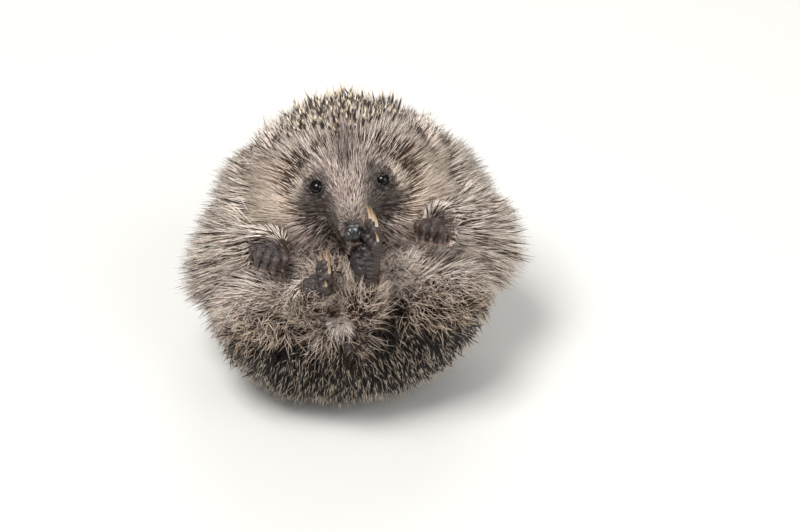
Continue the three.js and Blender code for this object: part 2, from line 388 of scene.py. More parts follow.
def coatEdge(p):
    # the tips of the coat, with the fur round each heel
    return np.minimum.reduce([mass(p) for mass in (coatOutline, *sleeves)])


# each detail: a box that it stays in, and how it changes the field there

def near(middle, radius, change):
    return {"middle": np.array(middle, np.float32), "radius": radius, "change": change}


def joins(mass, blend):
    return lambda value, p: meltValues(value, mass(p), blend)


def cuts(mass, blend):
    return lambda value, p: -meltValues(-value, mass(p), blend)


def lidOpening(side):
    way = gaze(side)
    middle = np.array(eyes[side], np.float32)
    across = unit(np.cross([0, 1, 0], way))
    over = np.cross(way, across)

    def mass(p):
        q = p - middle
        a, b, c = q @ across / 2.35, (q @ over + 0.05) / 2.55, q @ way
        return np.maximum((np.sqrt(a * a + b * b) - 1) * 2.2, -c)
    return mass


def details():
    listed = []
    for name, foot in feet.items():
        plan = laidOut[name]
        middle = (plan["ankle"] + np.array(foot["toes"])) / 2
        listed.append(near(middle, 34, joins(footMass(name), 1.6)))
    jaw = limb((headX, 3, 26), (headX, -3.9, 44.2), 7.6, 3.1)
    listed.append(near((headX, 0, 36), 24, joins(jaw, 1.6)))
    for side in (1, -1):
        wing = oval((nose[0] + side * 1.15, nose[1], nose[2]), (2.6, 3.2, 3.2))
        listed.append(near(nose, 9, joins(wing, 0.9)))
        lip = oval((nose[0] + side * 1.2, nose[1] - 4.6, 49.6), (1.9, 1.5, 2.2))
        listed.append(near(nose, 10, joins(lip, 0.8)))
    groove = limb((nose[0], 4.4, 55.4), (nose[0], -4.4, 52.4), 0.3, 0.5)
    listed.append(near(nose, 10, cuts(groove, 0.6)))
    for side in (1, -1):
        inner, rim, slit = ((nose[0] + side * x, nose[1] + u, nose[2] + w)
                            for x, u, w in ((1.9, -0.6, 2.6), (2.6, 0.9, 2.1), (3.6, 0.3, 0.9)))
        comma = melt(0.4, limb(inner, rim, 0.8, 0.8), limb(rim, slit, 0.65, 0.4))
        listed.append(near(nose, 9, cuts(comma, 0.3)))
        listed.append(near(eyes[side], 10, joins(oval(eyes[side], [3.6] * 3), 2.0)))
        listed.append(near(eyes[side], 8, cuts(lidOpening(side), 0.4)))
        listed.append(near(eyes[side], 8, cuts(oval(eyes[side], [animal["eyeRadius"] + 0.04] * 3), 0.12)))
        listed.append(near(earAt(side), 16, joins(oval(earAt(side), (4.6, 7.0, 1.3)), 2.5)))
        listed.append(near(earAt(side), 16, cuts(oval(earAt(side) + vec(0, 0.6, 3.0), (3.0, 5.0, 2.9)), 0.8)))
    stub = melt(1.5, limb(tailPath[0], tailPath[1], 3.8, 3.2), limb(tailPath[1], tailPath[2], 3.2, 1.5))
    listed.append(near(tailPath[1], 26, joins(stub, 2.0)))
    return listed


fleshDetails = details()


def flesh(p):
    p = np.asarray(p, np.float32)
    value = fleshBody(p)
    for detail in fleshDetails:
        close = np.flatnonzero((np.abs(p - detail["middle"]) < detail["radius"]).all(1))
        if len(close):
            value[close] = detail["change"](value[close], p[close])
    return value


def slopeOf(field, p, step=0.05):
    columns = []
    for axis in range(3):
        shift = np.zeros(3, np.float32)
        shift[axis] = step
        columns.append((field(p + shift) - field(p - shift)) / (2 * step))
    return np.stack(columns, 1)


def ontoSurface(field, p, rounds=4, most=0.6):
    for _ in range(rounds):
        value = field(p)
        slope = slopeOf(field, p)
        push = value[:, None] * slope / ((slope * slope).sum(1)[:, None] + 1e-3)
        length = np.linalg.norm(push, axis=1, keepdims=True)
        p = p - push * np.minimum(1, most / (length + 1e-9))
    return p


# markings and bare places, shared by the skin and everything that grows from it

eyeMask = melt(
    4,
    limb((11.2, 18.6, 34), (5.8, 6.5, 46), 6.3, 3.5),
    limb((12.5, 11, 34), (8.5, 4, 39), 4.2, 3.8),
)
blaze = limb((0, 13, 38), (0, 4.5, 50), 4.5, 3.4)
# the throat: darker fur under the chin, partly painted shade
throat = melt(3, limb((headX - 10, -1, 31), (headX + 2, -4.5, 38), 8.5, 7.5),
              limb((headX - 9, -0.5, 36), (headX - 3, -1.5, 44), 5.5, 4.0),
              limb((headX - 9, 2, 38), (headX - 5, 1.5, 44), 3.5, 3.0))
pinkSpot = (-7.0, -21.3, 31.5)
furSpots = [(-9.0, -25.0, 31.0), (1.0, -25.0, 45.0)]   # the buff hair fans out round here
vent = (-6.2, -34.0, 30.5)
underChinShade = (-7.0, -5.0, 33.0)        # dark fur below the chin, partly painted shade
breast = (27.0, -9.0, 24.0)     # thick pale hair below the left forepaw
wrists = [(-25.0, 6.0, 28.0), (33.0, 9.0, 27.0)]       # short hair where the forelegs come out
spinesFrom, hairFrom = (headX, 24, 60), (headX * 0.7, 6, 50)   # the places that the coat lies away from
forepaws = ("forepaw_left", "forepaw_right")


def distanceTo(spots, p):
    return np.minimum.reduce([np.linalg.norm(p - vec(*spot), axis=1) for spot in spots])


def pawGap(p, names=feet):
    # how far a place is from the bare part of the nearest paw
    gaps = []
    for name in names:
        foot, plan = feet[name], laidOut[name]
        start = plan["ankle"] + plan["forward"] * foot["hidden"]
        gaps.append(limb(start, plan["ball"], foot["heel"], foot["ball"])(p))
    return np.minimum.reduce(gaps)


def markings(p):
    # mask: dark round the eyes and down the muzzle, with painted shade round the forepaws and, in part, under
    # the chin; warm: the buff of the cheeks;
    # pale: the cream of the flanks and upper thighs; low: the dark thighs, rump and throat, where the
    # throat's darkness is partly painted shade
    aside = np.abs(p[:, 0] - headX + 0.9)
    onHead = smooth(4, 0.5, fleshHead(p))
    folded = np.stack([aside, p[:, 1], p[:, 2]], 1)
    mask = 0.93 * smooth(2.8, -2.4, eyeMask(folded))
    inner = [(eyes[side][0] - 1.3 * side - 0.5, eyes[side][1] - 1.0, eyes[side][2]) for side in (1, -1)]
    mask = np.maximum(mask, smooth(8.0, 4.6, distanceTo(inner, p)))
    mask = np.maximum(mask, 0.68 * smooth(2.5, -1.5, blaze(folded)))
    streak = smooth(3.4, 0.8, aside) * smooth(21, 27, p[:, 1]) * smooth(41, 34, p[:, 1])
    ear = np.minimum(*[oval(earAt(side) + vec(0, 1.5, 0), (3.6, 6.0, 6.0))(p) for side in (1, -1)])
    mask = np.maximum.reduce([mask, 0.75 * streak, 0.8 * smooth(1.5, -0.5, ear)]) * onHead
    warm = smooth(13.5, 19, aside) * smooth(37, 28, aside) * smooth(36, 25, p[:, 1]) * onHead
    thighTop = smooth(6, 13, np.abs(p[:, 0] - rumpX)) * smooth(-25, -13, p[:, 1]) * (1 - onHead)
    pale = np.maximum(smooth(30, 44, np.abs(p[:, 0])) * smooth(-34, -18, p[:, 1]), thighTop)
    pale = np.maximum(pale, 0.9 * smooth(29, 37, p[:, 1]) * smooth(2, 8, aside) * onHead)
    navel = smooth(19, 10, distanceTo(furSpots, p))
    warm = np.maximum(warm, 0.55 * navel)
    level = p[:, 1] + 0.1 * np.abs(p[:, 0]) + 0.25 * np.maximum(-p[:, 0] - 30, 0)
    low = smooth(-13, -25, level) * (1 - 0.75 * navel)
    # under the chin and on the throat the coat is darkened, partly as painted shade
    chin = smooth(15, 9, aside) * smooth(3.5, -0.5, p[:, 1]) * smooth(44, 40, p[:, 2]) * onHead
    mask = np.maximum.reduce([mask, 0.95 * smooth(2, -2.5, throat(p)), 0.95 * chin])
    low = np.maximum(low, 0.9 * smooth(15, 8, distanceTo([underChinShade], p)) * (1 - onHead))
    # close round each forepaw the coat is darker: the hair just above it, and a painted shade of the recess
    # that the paw sits in
    paws = pawGap(p, forepaws)
    low = np.maximum(low, 0.8 * smooth(4.5, 1.5, paws) * smooth(-3, 2, p[:, 1]))
    mask = np.maximum(mask, 0.9 * smooth(4.4, 1.4, paws))
    return np.stack([mask, warm, pale, low], 1)


# how far a place lies in the dark throat, partly painted shade; the pale guard hair thins there
def throatHere(p):
    return smooth(3, -1.5, throat(p)) * smooth(5, 1, fleshHead(p))


def inFrontOfSpines(p):
    # how far, in w, a place lies in front of the edge of the spines
    around = np.arctan2(p[:, 1], p[:, 0])
    edge = 8.5 - 8 * np.sin(around) - 13.5 * np.cos(2 * around)
    level = p[:, 1] - 6 * smooth(-14, -28, p[:, 0])
    return p[:, 2] - edge - 14 * smooth(-29, -37, level) * smooth(6, 12, np.abs(p[:, 0] - rumpX))


def bareFoot(name):
    # inside the foot, and past the stretch that the fur covers
    foot, plan, inside = feet[name], laidOut[name], footMass(name)
    start = foot["hidden"] - 2

    def gap(p):
        ahead = (p - plan["ankle"]).astype(np.float32) @ plan["forward"]
        outward = (p[:, 0] - plan["ball"][0]) * np.sign(plan["ball"][0])
        return np.maximum.reduce([inside(p) * 0.6, start - ahead, outward - foot.get("covered", 20)])
    return gap


def bareness(p):
    # foot, nose, lid and ear, each from 0 to 1; then pink spots, with a faint painted highlight on the
    # knuckles, and the side of a foot that is sole
    foot, sole = np.full(len(p), 20.0, np.float32), np.zeros(len(p), np.float32)
    for name, plan in laidOut.items():
        close = np.flatnonzero((np.abs(p - plan["ball"]) < 26).all(1))
        if len(close):
            foot[close] = np.minimum(foot[close], bareFoot(name)(p[close]))
            toSole = (p[close] - plan["ball"]) @ plan["facing"]
            if name in hindFeet:
                sole[close] = np.maximum(sole[close], smooth(0.0, 2.4, toSole))
    noseGap = oval(nose, (3.75, 3.35, 3.3))(p)
    lid = distanceTo(eyes.values(), p)
    ear = np.minimum(*[oval(earAt(side) + vec(0, 0.8, 1.2), (1.8, 3.4, 2.0))(p) for side in (1, -1)])
    tail = distanceTo([tailPath[2]], p)
    lips = distanceTo([(nose[0] + side * 1.2, nose[1] - 4.8, 51.2) for side in (1, -1)], p)
    tips = [toe["end"] + laidOut[name]["facing"] * 0.6 for name in forepaws for toe in laidOut[name]["toes"]]
    knuckleHighlights = [toe["knuckle"] for name in forepaws for toe in laidOut[name]["toes"]]
    # pink of the spots, lips and toe tips, and a faint pale pink on the knuckles that is a painted highlight
    pinkAndKnuckleHighlight = np.maximum.reduce([
        smooth(2.6, 1.2, distanceTo([pinkSpot, vent], p)), 0.1 * smooth(2.6, 1.4, lips),
        0.75 * smooth(2.2, 1.0, distanceTo(tips, p)), 0.16 * smooth(2.6, 1.2, distanceTo(knuckleHighlights, p)),
    ])
    listed = [smooth(1.0, 0.1, foot), smooth(0.5, 0.05, noseGap), smooth(3.8, 3.35, lid),
              np.maximum(smooth(0.9, 0.2, ear), smooth(2.4, 1.2, tail))]
    return np.stack(listed, 1), pinkAndKnuckleHighlight, sole


# the skin: a net over the field, then finer round the eyes, nose and toes

skinSettings = {
    "low": (-62, -64, -50), "high": (64, 58, 64), "step": 0.6, "block": 5,
    "fineNose": 8.5, "fineEye": 7.5, "fineFoot": 12.0,   # how far the finer net reaches
    "wrinkle": 0.12, "wrinkleSpacing": 1.5,               # folds across the toes and soles
}


def fieldGrid(field, low, high, step, block):
    low = np.array(low, np.float32)
    counts = (np.ceil((np.array(high) - low) / (step * block)).astype(int)) * block + 1
    coarseAxes = [low[i] + np.arange(0, counts[i], block) * step for i in range(3)]
    coarse = np.stack(np.meshgrid(*coarseAxes, indexing="ij"), -1).reshape(-1, 3).astype(np.float32)
    coarseValue = field(coarse).reshape([len(a) for a in coarseAxes])
    close = np.abs(coarseValue) < step * block * 1.05
    for axis in range(3):
        close |= np.roll(close, 1, axis) | np.roll(close, -1, axis)

    def spread(grid):
        for axis in range(3):
            grid = grid.repeat(block, axis)
        return grid[:counts[0], :counts[1], :counts[2]]
    values = spread(coarseValue).copy()
    chosen = np.argwhere(spread(close))
    values[tuple(chosen.T)] = field((low + chosen * step).astype(np.float32))
    return values, low


def netOver(values, low, step):
    inside = values < 0
    n = [size - 1 for size in values.shape]
    total = np.zeros(n, np.int8)
    for i in (0, 1):
        for j in (0, 1):
            for k in (0, 1):
                total += inside[i:n[0] + i, j:n[1] + j, k:n[2] + k]
    mixed = (total > 0) & (total < 8)
    index = np.full(n, -1, np.int32)
    index[mixed] = np.arange(int(mixed.sum()))
    points = (low + (np.argwhere(mixed) + 0.5) * step).astype(np.float32)
    faces = []
    for axis in range(3):
        a, b = (axis + 1) % 3, (axis + 2) % 3
        first, second = [slice(None)] * 3, [slice(None)] * 3
        first[axis], second[axis] = slice(0, -1), slice(1, None)
        for other in (a, b):
            first[other] = second[other] = slice(1, -1)
        here, there = inside[tuple(first)], inside[tuple(second)]
        for starts in (True, False):
            crossing = np.argwhere((here == starts) & (there != starts))
            cells = []
            for da, db in ((0, 0), (1, 0), (1, 1), (0, 1)):
                cell = crossing.copy()
                cell[:, a] += da
                cell[:, b] += db
                cells.append(index[tuple(cell.T)])
            quad = np.stack(cells, 1)
            faces.append(quad if starts else quad[:, ::-1])
    return points, np.concatenate(faces)


def meshFrom(name, points, faces):
    mesh = bpy.data.meshes.new(name)
    faces = np.asarray(faces, np.int32)
    mesh.vertices.add(len(points))
    mesh.vertices.foreach_set("co", np.asarray(points, np.float32).ravel())
    mesh.loops.add(faces.size)
    mesh.loops.foreach_set("vertex_index", faces.ravel())
    mesh.polygons.add(len(faces))
    mesh.polygons.foreach_set("loop_start", np.arange(0, faces.size, faces.shape[1], dtype=np.int32))
    mesh.polygons.foreach_set("loop_total", np.full(len(faces), faces.shape[1], np.int32))
    mesh.polygons.foreach_set("use_smooth", np.ones(len(faces), bool))
    mesh.update(calc_edges=True)
    return mesh


def pointsOf(mesh):
    flat = np.empty(len(mesh.vertices) * 3, np.float32)
    mesh.vertices.foreach_get("co", flat)
    return flat.reshape(-1, 3)


def writeAttribute(mesh, name, kind, values):
    attribute = mesh.attributes.new(name, kind, "POINT")
    key = "color" if kind == "FLOAT_COLOR" else "value"
    attribute.data.foreach_set(key, np.asarray(values, np.float32).ravel())


def makeSkin():
    step = skinSettings["step"]
    values, low = fieldGrid(flesh, skinSettings["low"], skinSettings["high"], step, skinSettings["block"])
    points, faces = netOver(values, low, step)
    mesh = meshFrom("skin", ontoSurface(flesh, points), faces)
    shape = bmesh.new()
    shape.from_mesh(mesh)
    rounds = (
        [(nose, skinSettings["fineNose"])] + [(eyes[side], skinSettings["fineEye"]) for side in (1, -1)]
        + [(plan["ball"] + plan["forward"] * 2, skinSettings["fineFoot"]) for plan in laidOut.values()],
        [(nose, skinSettings["fineNose"] * 0.55)]
        + [(eyes[side], skinSettings["fineEye"] * 0.65) for side in (1, -1)],
    )
    for spots in rounds:
        edges = []
        for edge in shape.edges:
            middle = (edge.verts[0].co + edge.verts[1].co) / 2
            if any((middle - Vector(spot)).length < reach for spot, reach in spots):
                edges.append(edge)
        bmesh.ops.subdivide_edges(shape, edges=edges, cuts=1, use_grid_fill=True)
        co = np.array([v.co for v in shape.verts], np.float32)
        closeBy = np.zeros(len(co), bool)
        for spot, reach in spots:
            closeBy |= np.linalg.norm(co - np.array(spot), axis=1) < reach + 1.5
        moved = ontoSurface(flesh, co[closeBy], rounds=3, most=0.3)
        shape.verts.ensure_lookup_table()
        for i, place in zip(np.flatnonzero(closeBy), moved):
            shape.verts[i].co = place
    bmesh.ops.triangulate(shape, faces=[f for f in shape.faces if len(f.verts) > 4])
    for face in shape.faces:
        face.smooth = True
    shape.to_mesh(mesh)
    shape.free()
    return mesh


creases = {"depth": 0.6, "width": 0.42,
           "places": ((-0.6, 0.25), (-2.4, -0.4), (-4.6, 0.45), (-6.2, -0.3), (-8.4, 0.35), (-10.4, -0.25))}


def foldFeet(p, bare, sole):
    # fine folds across each foot, and a few deep slanting creases in the sole, with painted shade darkening
    # the creases and the gaps between the toes
    along, deep = np.zeros((2, len(p)), np.float32)
    for plan in laidOut.values():
        close = np.flatnonzero((np.abs(p - plan["ball"]) < 17).all(1) & (bare[:, 0] > 0.02))
        q = p[close]
        way = slopeOf(flesh, q)
        ahead, aside = (q - plan["ball"]) @ plan["forward"], (q - plan["ball"]) @ plan["across"]
        wander = swirls(q, 5.5, 3)
        run = ahead + 0.35 * np.sin(aside * 1.7) + 0.5 * wander
        run = run * 2 * math.pi / skinSettings["wrinkleSpacing"]
        uneven = 0.55 + 0.45 * np.clip(swirls(q, 7, 9), -1, 1)
        push = skinSettings["wrinkle"] * (np.sin(run) + 0.6 * np.sin(run * 0.53 + 1)) * uneven
        for start, slant in creases["places"]:
            gap = ahead - start - slant * aside + 0.4 * np.sin(aside * 1.3 + start) + 0.3 * wander
            groove = np.exp(-(gap / creases["width"]) ** 2)
            push -= creases["depth"] * groove * sole[close] * np.clip(uneven * 1.5, 0, 1)
        p[close] += (way * (push * bare[close, 0])[:, None]).astype(np.float32)
        along[close] = run
        toes = np.sort([
            np.minimum(limb(toe["start"], toe["knuckle"], 0, 0)(q), limb(toe["knuckle"], toe["end"], 0, 0)(q))
            for toe in plan["toes"]], axis=0)
        between = smooth(1.3, 0.2, toes[1] - toes[0]) * smooth(-1.5, 0.5, ahead)
        # painted shade: darker in the grooves and between the toes
        deep[close] = np.maximum(smooth(0.02, -0.4, push), between) * bare[close, 0]
    return p, along, deep


# the coat: each hair is a thin closed needle with three sides

def needlePattern(rings, sides):
    # the triangles of one needle, with where each corner lies round and along it
    faces, places = [], []
    for k in range(rings - 1):
        for j in range(sides):
            low, high = k / rings, (k + 1) / rings
            a, b = k * sides + j, k * sides + (j + 1) % sides
            c, d = a + sides, b + sides
            faces += [(a, b, d), (a, d, c)]
            places += [(j, low), (j + 1, low), (j + 1, high), (j, low), (j + 1, high), (j, high)]
    for j in range(sides):
        a, b = (rings - 1) * sides + j, (rings - 1) * sides + (j + 1) % sides
        faces.append((a, b, rings * sides))
        places += [(j, 1 - 1 / rings), (j + 1, 1 - 1 / rings), (j + 0.5, 1)]
    for j in range(1, sides - 1):
        faces.append((0, j + 1, j))
        places += [(0, 0), (0.1, 0), (0, 0.05)]
    places = np.array(places, np.float32)
    places[:, 0] /= sides
    return np.array(faces, np.int32), places


def unwrapped(roots):
    # the skin opened out flat round the belly's axis, then evened out so that no two patches overlap
    ball = unit(roots - vec(0, -2, -6))
    away = np.arccos(np.clip(ball[:, 2], -1, 1)) / math.pi
    around = unit(ball[:, :2])
    flat = around * away[:, None]
    count = len(roots)
    columns = max(1, int(math.sqrt(count)))
    order = np.argsort(flat[:, 0], kind="stable")
    column = np.empty(count, int)
    column[order] = np.arange(count) * columns // count
    order = np.lexsort((flat[:, 1], column))
    counts = np.bincount(column, minlength=columns)
    starts = np.concatenate([[0], np.cumsum(counts)[:-1]])
    row = np.empty(count)
    row[order] = np.arange(count) - starts[column[order]]
    middle = np.stack([(column + 0.5) / columns, (row + 0.5) / counts[column]], 1)
    return 0.005 + 0.99 * middle


patch = 0.003   # across one hair's own bit of the map


def needles(name, path, thick, sides, roots, taper, rng):
    # path: hairs x (rings + 1) x 3, the last place being the tip
    count, rings = path.shape[0], path.shape[1] - 1
    along = np.linspace(0, 1, rings + 1)
    step = np.gradient(path, axis=1)
    tangent = unit(step[:, :rings])
    aside = unit(np.cross(tangent, unit(rng.normal(size=(count, 1, 3)))))
    over = np.cross(tangent, aside)
    turn = np.arange(sides) * 2 * math.pi / sides
    girth = thick[:, None] * np.interp(along[:rings], *taper)[None]
    ring = (aside[:, :, None] * np.cos(turn)[None, None, :, None]
            + over[:, :, None] * np.sin(turn)[None, None, :, None]) * girth[:, :, None, None] / 2
    rim = (path[:, :rings, None] + ring).reshape(count, rings * sides, 3)
    points = np.concatenate([rim, path[:, rings:]], 1)
    points = toWorld(points.reshape(-1, 3))
    points[:, 2] = np.maximum(points[:, 2], 0.0002)   # what would sink into the floor lies on it
    pattern, places = needlePattern(rings, sides)
    each = rings * sides + 1
    faces = (pattern[None] + (np.arange(count) * each)[:, None, None]).reshape(-1, 3)
    mesh = meshFrom(name, points, faces)
    pointAlong = np.tile(np.append(np.repeat(along[:rings], sides), 1.0), count)
    writeAttribute(mesh, "along", "FLOAT", pointAlong)
    writeAttribute(mesh, "shade", "FLOAT", np.repeat(rng.random(count), each))
    marks = np.repeat(markings(roots), each, axis=0)
    writeAttribute(mesh, "marks", "FLOAT_COLOR", marks)
    bake = mesh.uv_layers.new(name="OFBake")
    corners = unwrapped(roots)[:, None, :] + (places - 0.5)[None] * patch
    bake.data.foreach_set("uv", corners.astype(np.float32).ravel())
    return mesh


def rootsOn(weight, count, rng):
    # places spread over the skin, as close together as the weight says
    total = np.cumsum(skinFaces["area"] * weight)
    steps = (np.arange(count) + rng.random(count)) / count * total[-1]
    chosen = np.searchsorted(total, steps)
    a, b, c = (skinFaces[key][chosen] for key in ("a", "b", "c"))
    u, v = rng.random((2, count, 1)).astype(np.float32)
    over = (u + v) > 1
    u, v = np.where(over, 1 - u, u), np.where(over, 1 - v, v)
    return a + u * (b - a) + v * (c - a), skinFaces["normal"][chosen]


def apart(roots, normals, gap, most):
    # keeps only roots that stand well apart
    taken, kept = {}, []
    cells = np.floor(roots / gap).astype(int)
    around = [(i, j, k) for i in (-1, 0, 1) for j in (-1, 0, 1) for k in (-1, 0, 1)]
    for index, (x, y, z) in enumerate(cells.tolist()):
        place = roots[index]
        if any(np.abs(place - other).max() < gap and np.linalg.norm(place - other) < gap
               for i, j, k in around for other in taken.get((x + i, y + j, z + k), ())):
            continue
        taken.setdefault((x, y, z), []).append(place)
        kept.append(index)
        if len(kept) == most:
            break
    return roots[kept], normals[kept]


def awayFrom(spot, roots, normals):
    return laidFlat(roots - np.asarray(spot, np.float32), normals)


def swirls(roots, scale, seed):
    # a smooth random turn, in radians, that neighbouring hairs share
    rng = np.random.default_rng(seed)
    total = np.zeros(len(roots))
    for k in range(6):
        way = unit(rng.normal(size=3)) * 2 * math.pi / (scale * rng.uniform(0.7, 1.8))
        total += np.sin(roots @ way + rng.uniform(0, 2 * math.pi))
    return total / math.sqrt(6)


# where no hair may cross: in front of the eyes and nose, and over the feet

def openAbove(mass, level, tall):
    def column(p):
        q = p.copy()
        q[:, 2] -= np.clip(q[:, 2] - level, 0, tall)
        return mass(q)
    return column


def clearings():
    listed = [limb(nose, (nose[0], nose[1], nose[2] + 8), 3.4, 4.0)]
    for side in (1, -1):
        start = vec(*eyes[side]) + gaze(side) * 0.8
        listed.append(limb(start, start + gaze(side) * 9, 2.6, 3.1))
    for name, plan in laidOut.items():
        foot = feet[name]
        inward = vec(-2.2 * np.sign(plan["ball"][0]) if "covered" in foot else 0, 0, 0)
        further = foot["heel"] + (1.5 if name in hindFeet else -1.2)
        start = plan["ankle"] + plan["forward"] * (foot["hidden"] + further) + inward
        ahead = plan["forward"] * foot["toeLength"] * 0.6 + plan["facing"] * foot["dip"] * 0.6 + inward
        sole = limb(start, plan["ball"] + ahead, foot["heel"] - 0.6, foot["ball"])
        listed.append(openAbove(sole, plan["ball"][2], 12))
    return listed


openPlaces = clearings()


hairRules = {"stops": 8,        # along each hair, where its way is looked at
             "sunk": 0.3,       # of its root, below the skin
             "mostProud": 4.5}  # of its tip, beyond the coat's outline


def trim(base, startWay, endWay, length, proud, rng):
    # each hair ends at the coat's outline, and short of anything that it would hide
    stops = hairRules["stops"]
    reached = np.ones(len(base), np.float32)
    free, blocked = np.ones(len(base), bool), np.zeros(len(base), bool)
    for k in range(1, stops + 1):
        s = k / stops
        going = np.flatnonzero(free)
        ways, ends = startWay[going], endWay[going]
        place = base[going] + length[going, None] * (s * ways + 0.5 * s * s * (ends - ways))
        place = place.astype(np.float32)
        stopped = coatEdge(place) > proud[going]
        for mass in openPlaces if k > 1 else ():
            crossing = mass(place) < 0
            blocked[going[crossing]] = True
            stopped |= crossing
        hit = going[stopped]
        reached[hit] = (k - 1 + rng.random(len(hit))) / stops
        free[hit] = False
    kept = np.flatnonzero(~blocked | (reached > 0.4))
    reached = np.maximum(reached, 0.2)
    return length * reached, startWay + reached[:, None] * (endWay - startWay), kept


def grow(name, roots, normals, flow, length, look, seed, material):
    rng = np.random.default_rng(seed)
    count, rings = len(roots), look["rings"]
    turn = rng.normal(0, look["stray"], count) + look["swirl"] * swirls(roots, look["swirlSize"], seed + 1)
    side = unit(np.cross(normals, flow))
    flow = flow * np.cos(turn)[:, None] + side * np.sin(turn)[:, None]
    side = np.cross(normals, flow)
    depth = np.maximum(-coatEdge(roots), 0.3)
    length = length * rng.uniform(0.75, 1.15, count)
    rise = np.arcsin(np.clip(depth / length * look["reach"], look["lowest"], look["highest"]))
    rise = rise * rng.uniform(0.75, 1.2, count)
    first, last = rise * look["bow"], rise * (2 - look["bow"])
    startWay = flow * np.cos(first)[:, None] + normals * np.sin(first)[:, None]
    endWay = flow * np.cos(last)[:, None] + normals * np.sin(last)[:, None]
    base = roots - normals * hairRules["sunk"]
    proud = np.minimum(rng.exponential(look["proud"], count), hairRules["mostProud"])
    length, endWay, kept = trim(base, startWay, endWay, length, proud, rng)
    roots, normals, side, base, startWay, endWay, length = (
        values[kept] for values in (roots, normals, side, base, startWay, endWay, length))
    count = len(roots)
    s = np.linspace(0, 1, rings + 1)[None, :, None]
    bent = s * startWay[:, None] + 0.5 * s * s * (endWay - startWay)[:, None]
    path = base[:, None] + length[:, None, None] * bent
    if look["curl"] > 0:
        phase, speed = rng.uniform(0, 2 * math.pi, (count, 1, 1)), rng.uniform(0.7, 1.3, (count, 1, 1))
        angle = 2 * math.pi * look["curls"] * speed * s + phase
        size = look["curl"] * rng.uniform(0.3, 1.3, (count, 1, 1)) * np.minimum(1, 3 * s)
        size = size * np.clip(length / 9 - 0.2, 0, 1)[:, None, None]   # short hairs hardly curl
        path = path + size * (np.sin(angle) * side[:, None] + 0.6 * np.cos(angle) * normals[:, None])
    if look["clump"] > 0:
        leaders = rng.choice(count, max(1, count // look["lock"]), replace=False)
        tree = kdtree.KDTree(len(leaders))
        for i, leader in enumerate(leaders):
            tree.insert(roots[leader], i)
        tree.balance()
        nearest = leaders[[tree.find(root)[1] for root in roots.tolist()]]
        pull = look["clump"] * rng.uniform(0.4, 1.2, (count, 1, 1)) * s ** 1.4
        path = path + np.minimum(pull, 0.95) * (path[nearest] - path)
    thick = look["thick"] * rng.uniform(0.7, 1.2, count)
    mesh = needles(name, path.astype(np.float32), thick, look["sides"], roots, look["taper"], rng)
    mesh.materials.append(material)
    piece = inScene(name, mesh)
    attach(piece, "root")
    say(f"{name}: {count} hairs, {len(mesh.polygons)} triangles")


hairTaper = ([0, 0.3, 0.7, 1], [0.8, 1.0, 0.75, 0.2])
spineTaper = ([0, 0.12, 0.6, 0.85, 1], [0.55, 1.0, 1.0, 0.7, 0.2])


# what the words of each look mean, for all the pieces of the coat:
# stray, swirl: how far a hair's way turns by itself, and with its neighbours over swirlSize
# reach, lowest, highest: how steeply it rises to the coat's outline; bow: how much steeper at the root
# curl, curls: the size and number of its waves; clump, lock: how far the hairs of a lock draw together,
# and how many they are; proud: how far its tip may pass the outline; rings: how finely it bends
plainHair = {"rings": 2, "sides": 3, "curl": 0, "curls": 0, "clump": 0, "lock": 1, "share": 1, "proud": 0.7,
             "taper": hairTaper}
underHair = {**plainHair, "lowest": 0.2, "highest": 0.8, "bow": 1.2, "clump": 0.4, "lock": 12}


def hairMaterial(name, tips, roots):
    # hair: matt, with a soft sheen; dark at the root, partly its own colour and partly painted shade deep in
    # the coat, and pale towards the tip
    material, tree, surface = newMaterial(name, {"Roughness": 0.5, "Specular IOR Level": 0.25})
    along, shade, marks = (add(tree, "ShaderNodeAttribute", {"attribute_name": key})
                           for key in ("along", "shade", "marks"))
    parts = add(tree, "ShaderNodeSeparateColor", links={"Color": marks.outputs["Color"]})
    colour = paintOver(tree, shade.outputs["Fac"], tips["plain"], (
        (parts.outputs["Blue"], tips["pale"]), (parts.outputs["Green"], tips["warm"]),
        (marks.outputs["Alpha"], tips["low"]), (parts.outputs["Red"], tips["mask"])))
    band = add(tree, "ShaderNodeValToRGB", links={"Fac": along.outputs["Fac"]}, stops=roots["band"])
    mix = add(tree, "ShaderNodeMix", {"data_type": "RGBA"}, {6: linear(roots["colour"])},
              {0: band.outputs["Color"], 7: colour})
    tree.links.new(mix.outputs[2], surface.inputs["Base Color"])
    return material


# the dark hairs are partly their own colour and partly painted shade for the shaded gaps between the pale
# ones
guardTips = {   # some of the hairs are dark, and show as the gaps between the pale ones
    "plain": [(0, "#2d2019"), (0.2, "#4e3d35"), (0.29, "#bea79a"), (1, "#f0e1d7")],
    "pale": [(0, "#2d1e16"), (0.24, "#4c372a"), (0.31, "#eed9c8"), (1, "#fff7ee")],
    "warm": [(0, "#452e1f"), (0.14, "#7a5a41"), (0.22, "#ebd2bb"), (1, "#fff5e9")],
    "low": [(0, "#25170e"), (0.3, "#4a3321"), (0.44, "#c9b199"), (1, "#f3e1ce")],
    "mask": [(0, "#302622"), (0.4, "#584b45"), (0.75, "#7c716b"), (1, "#a89d97")],
}
guardRoots = {"colour": "#33251d", "band": [(0.0, 0.0), (0.12, 0.55), (0.28, 1.0)]}
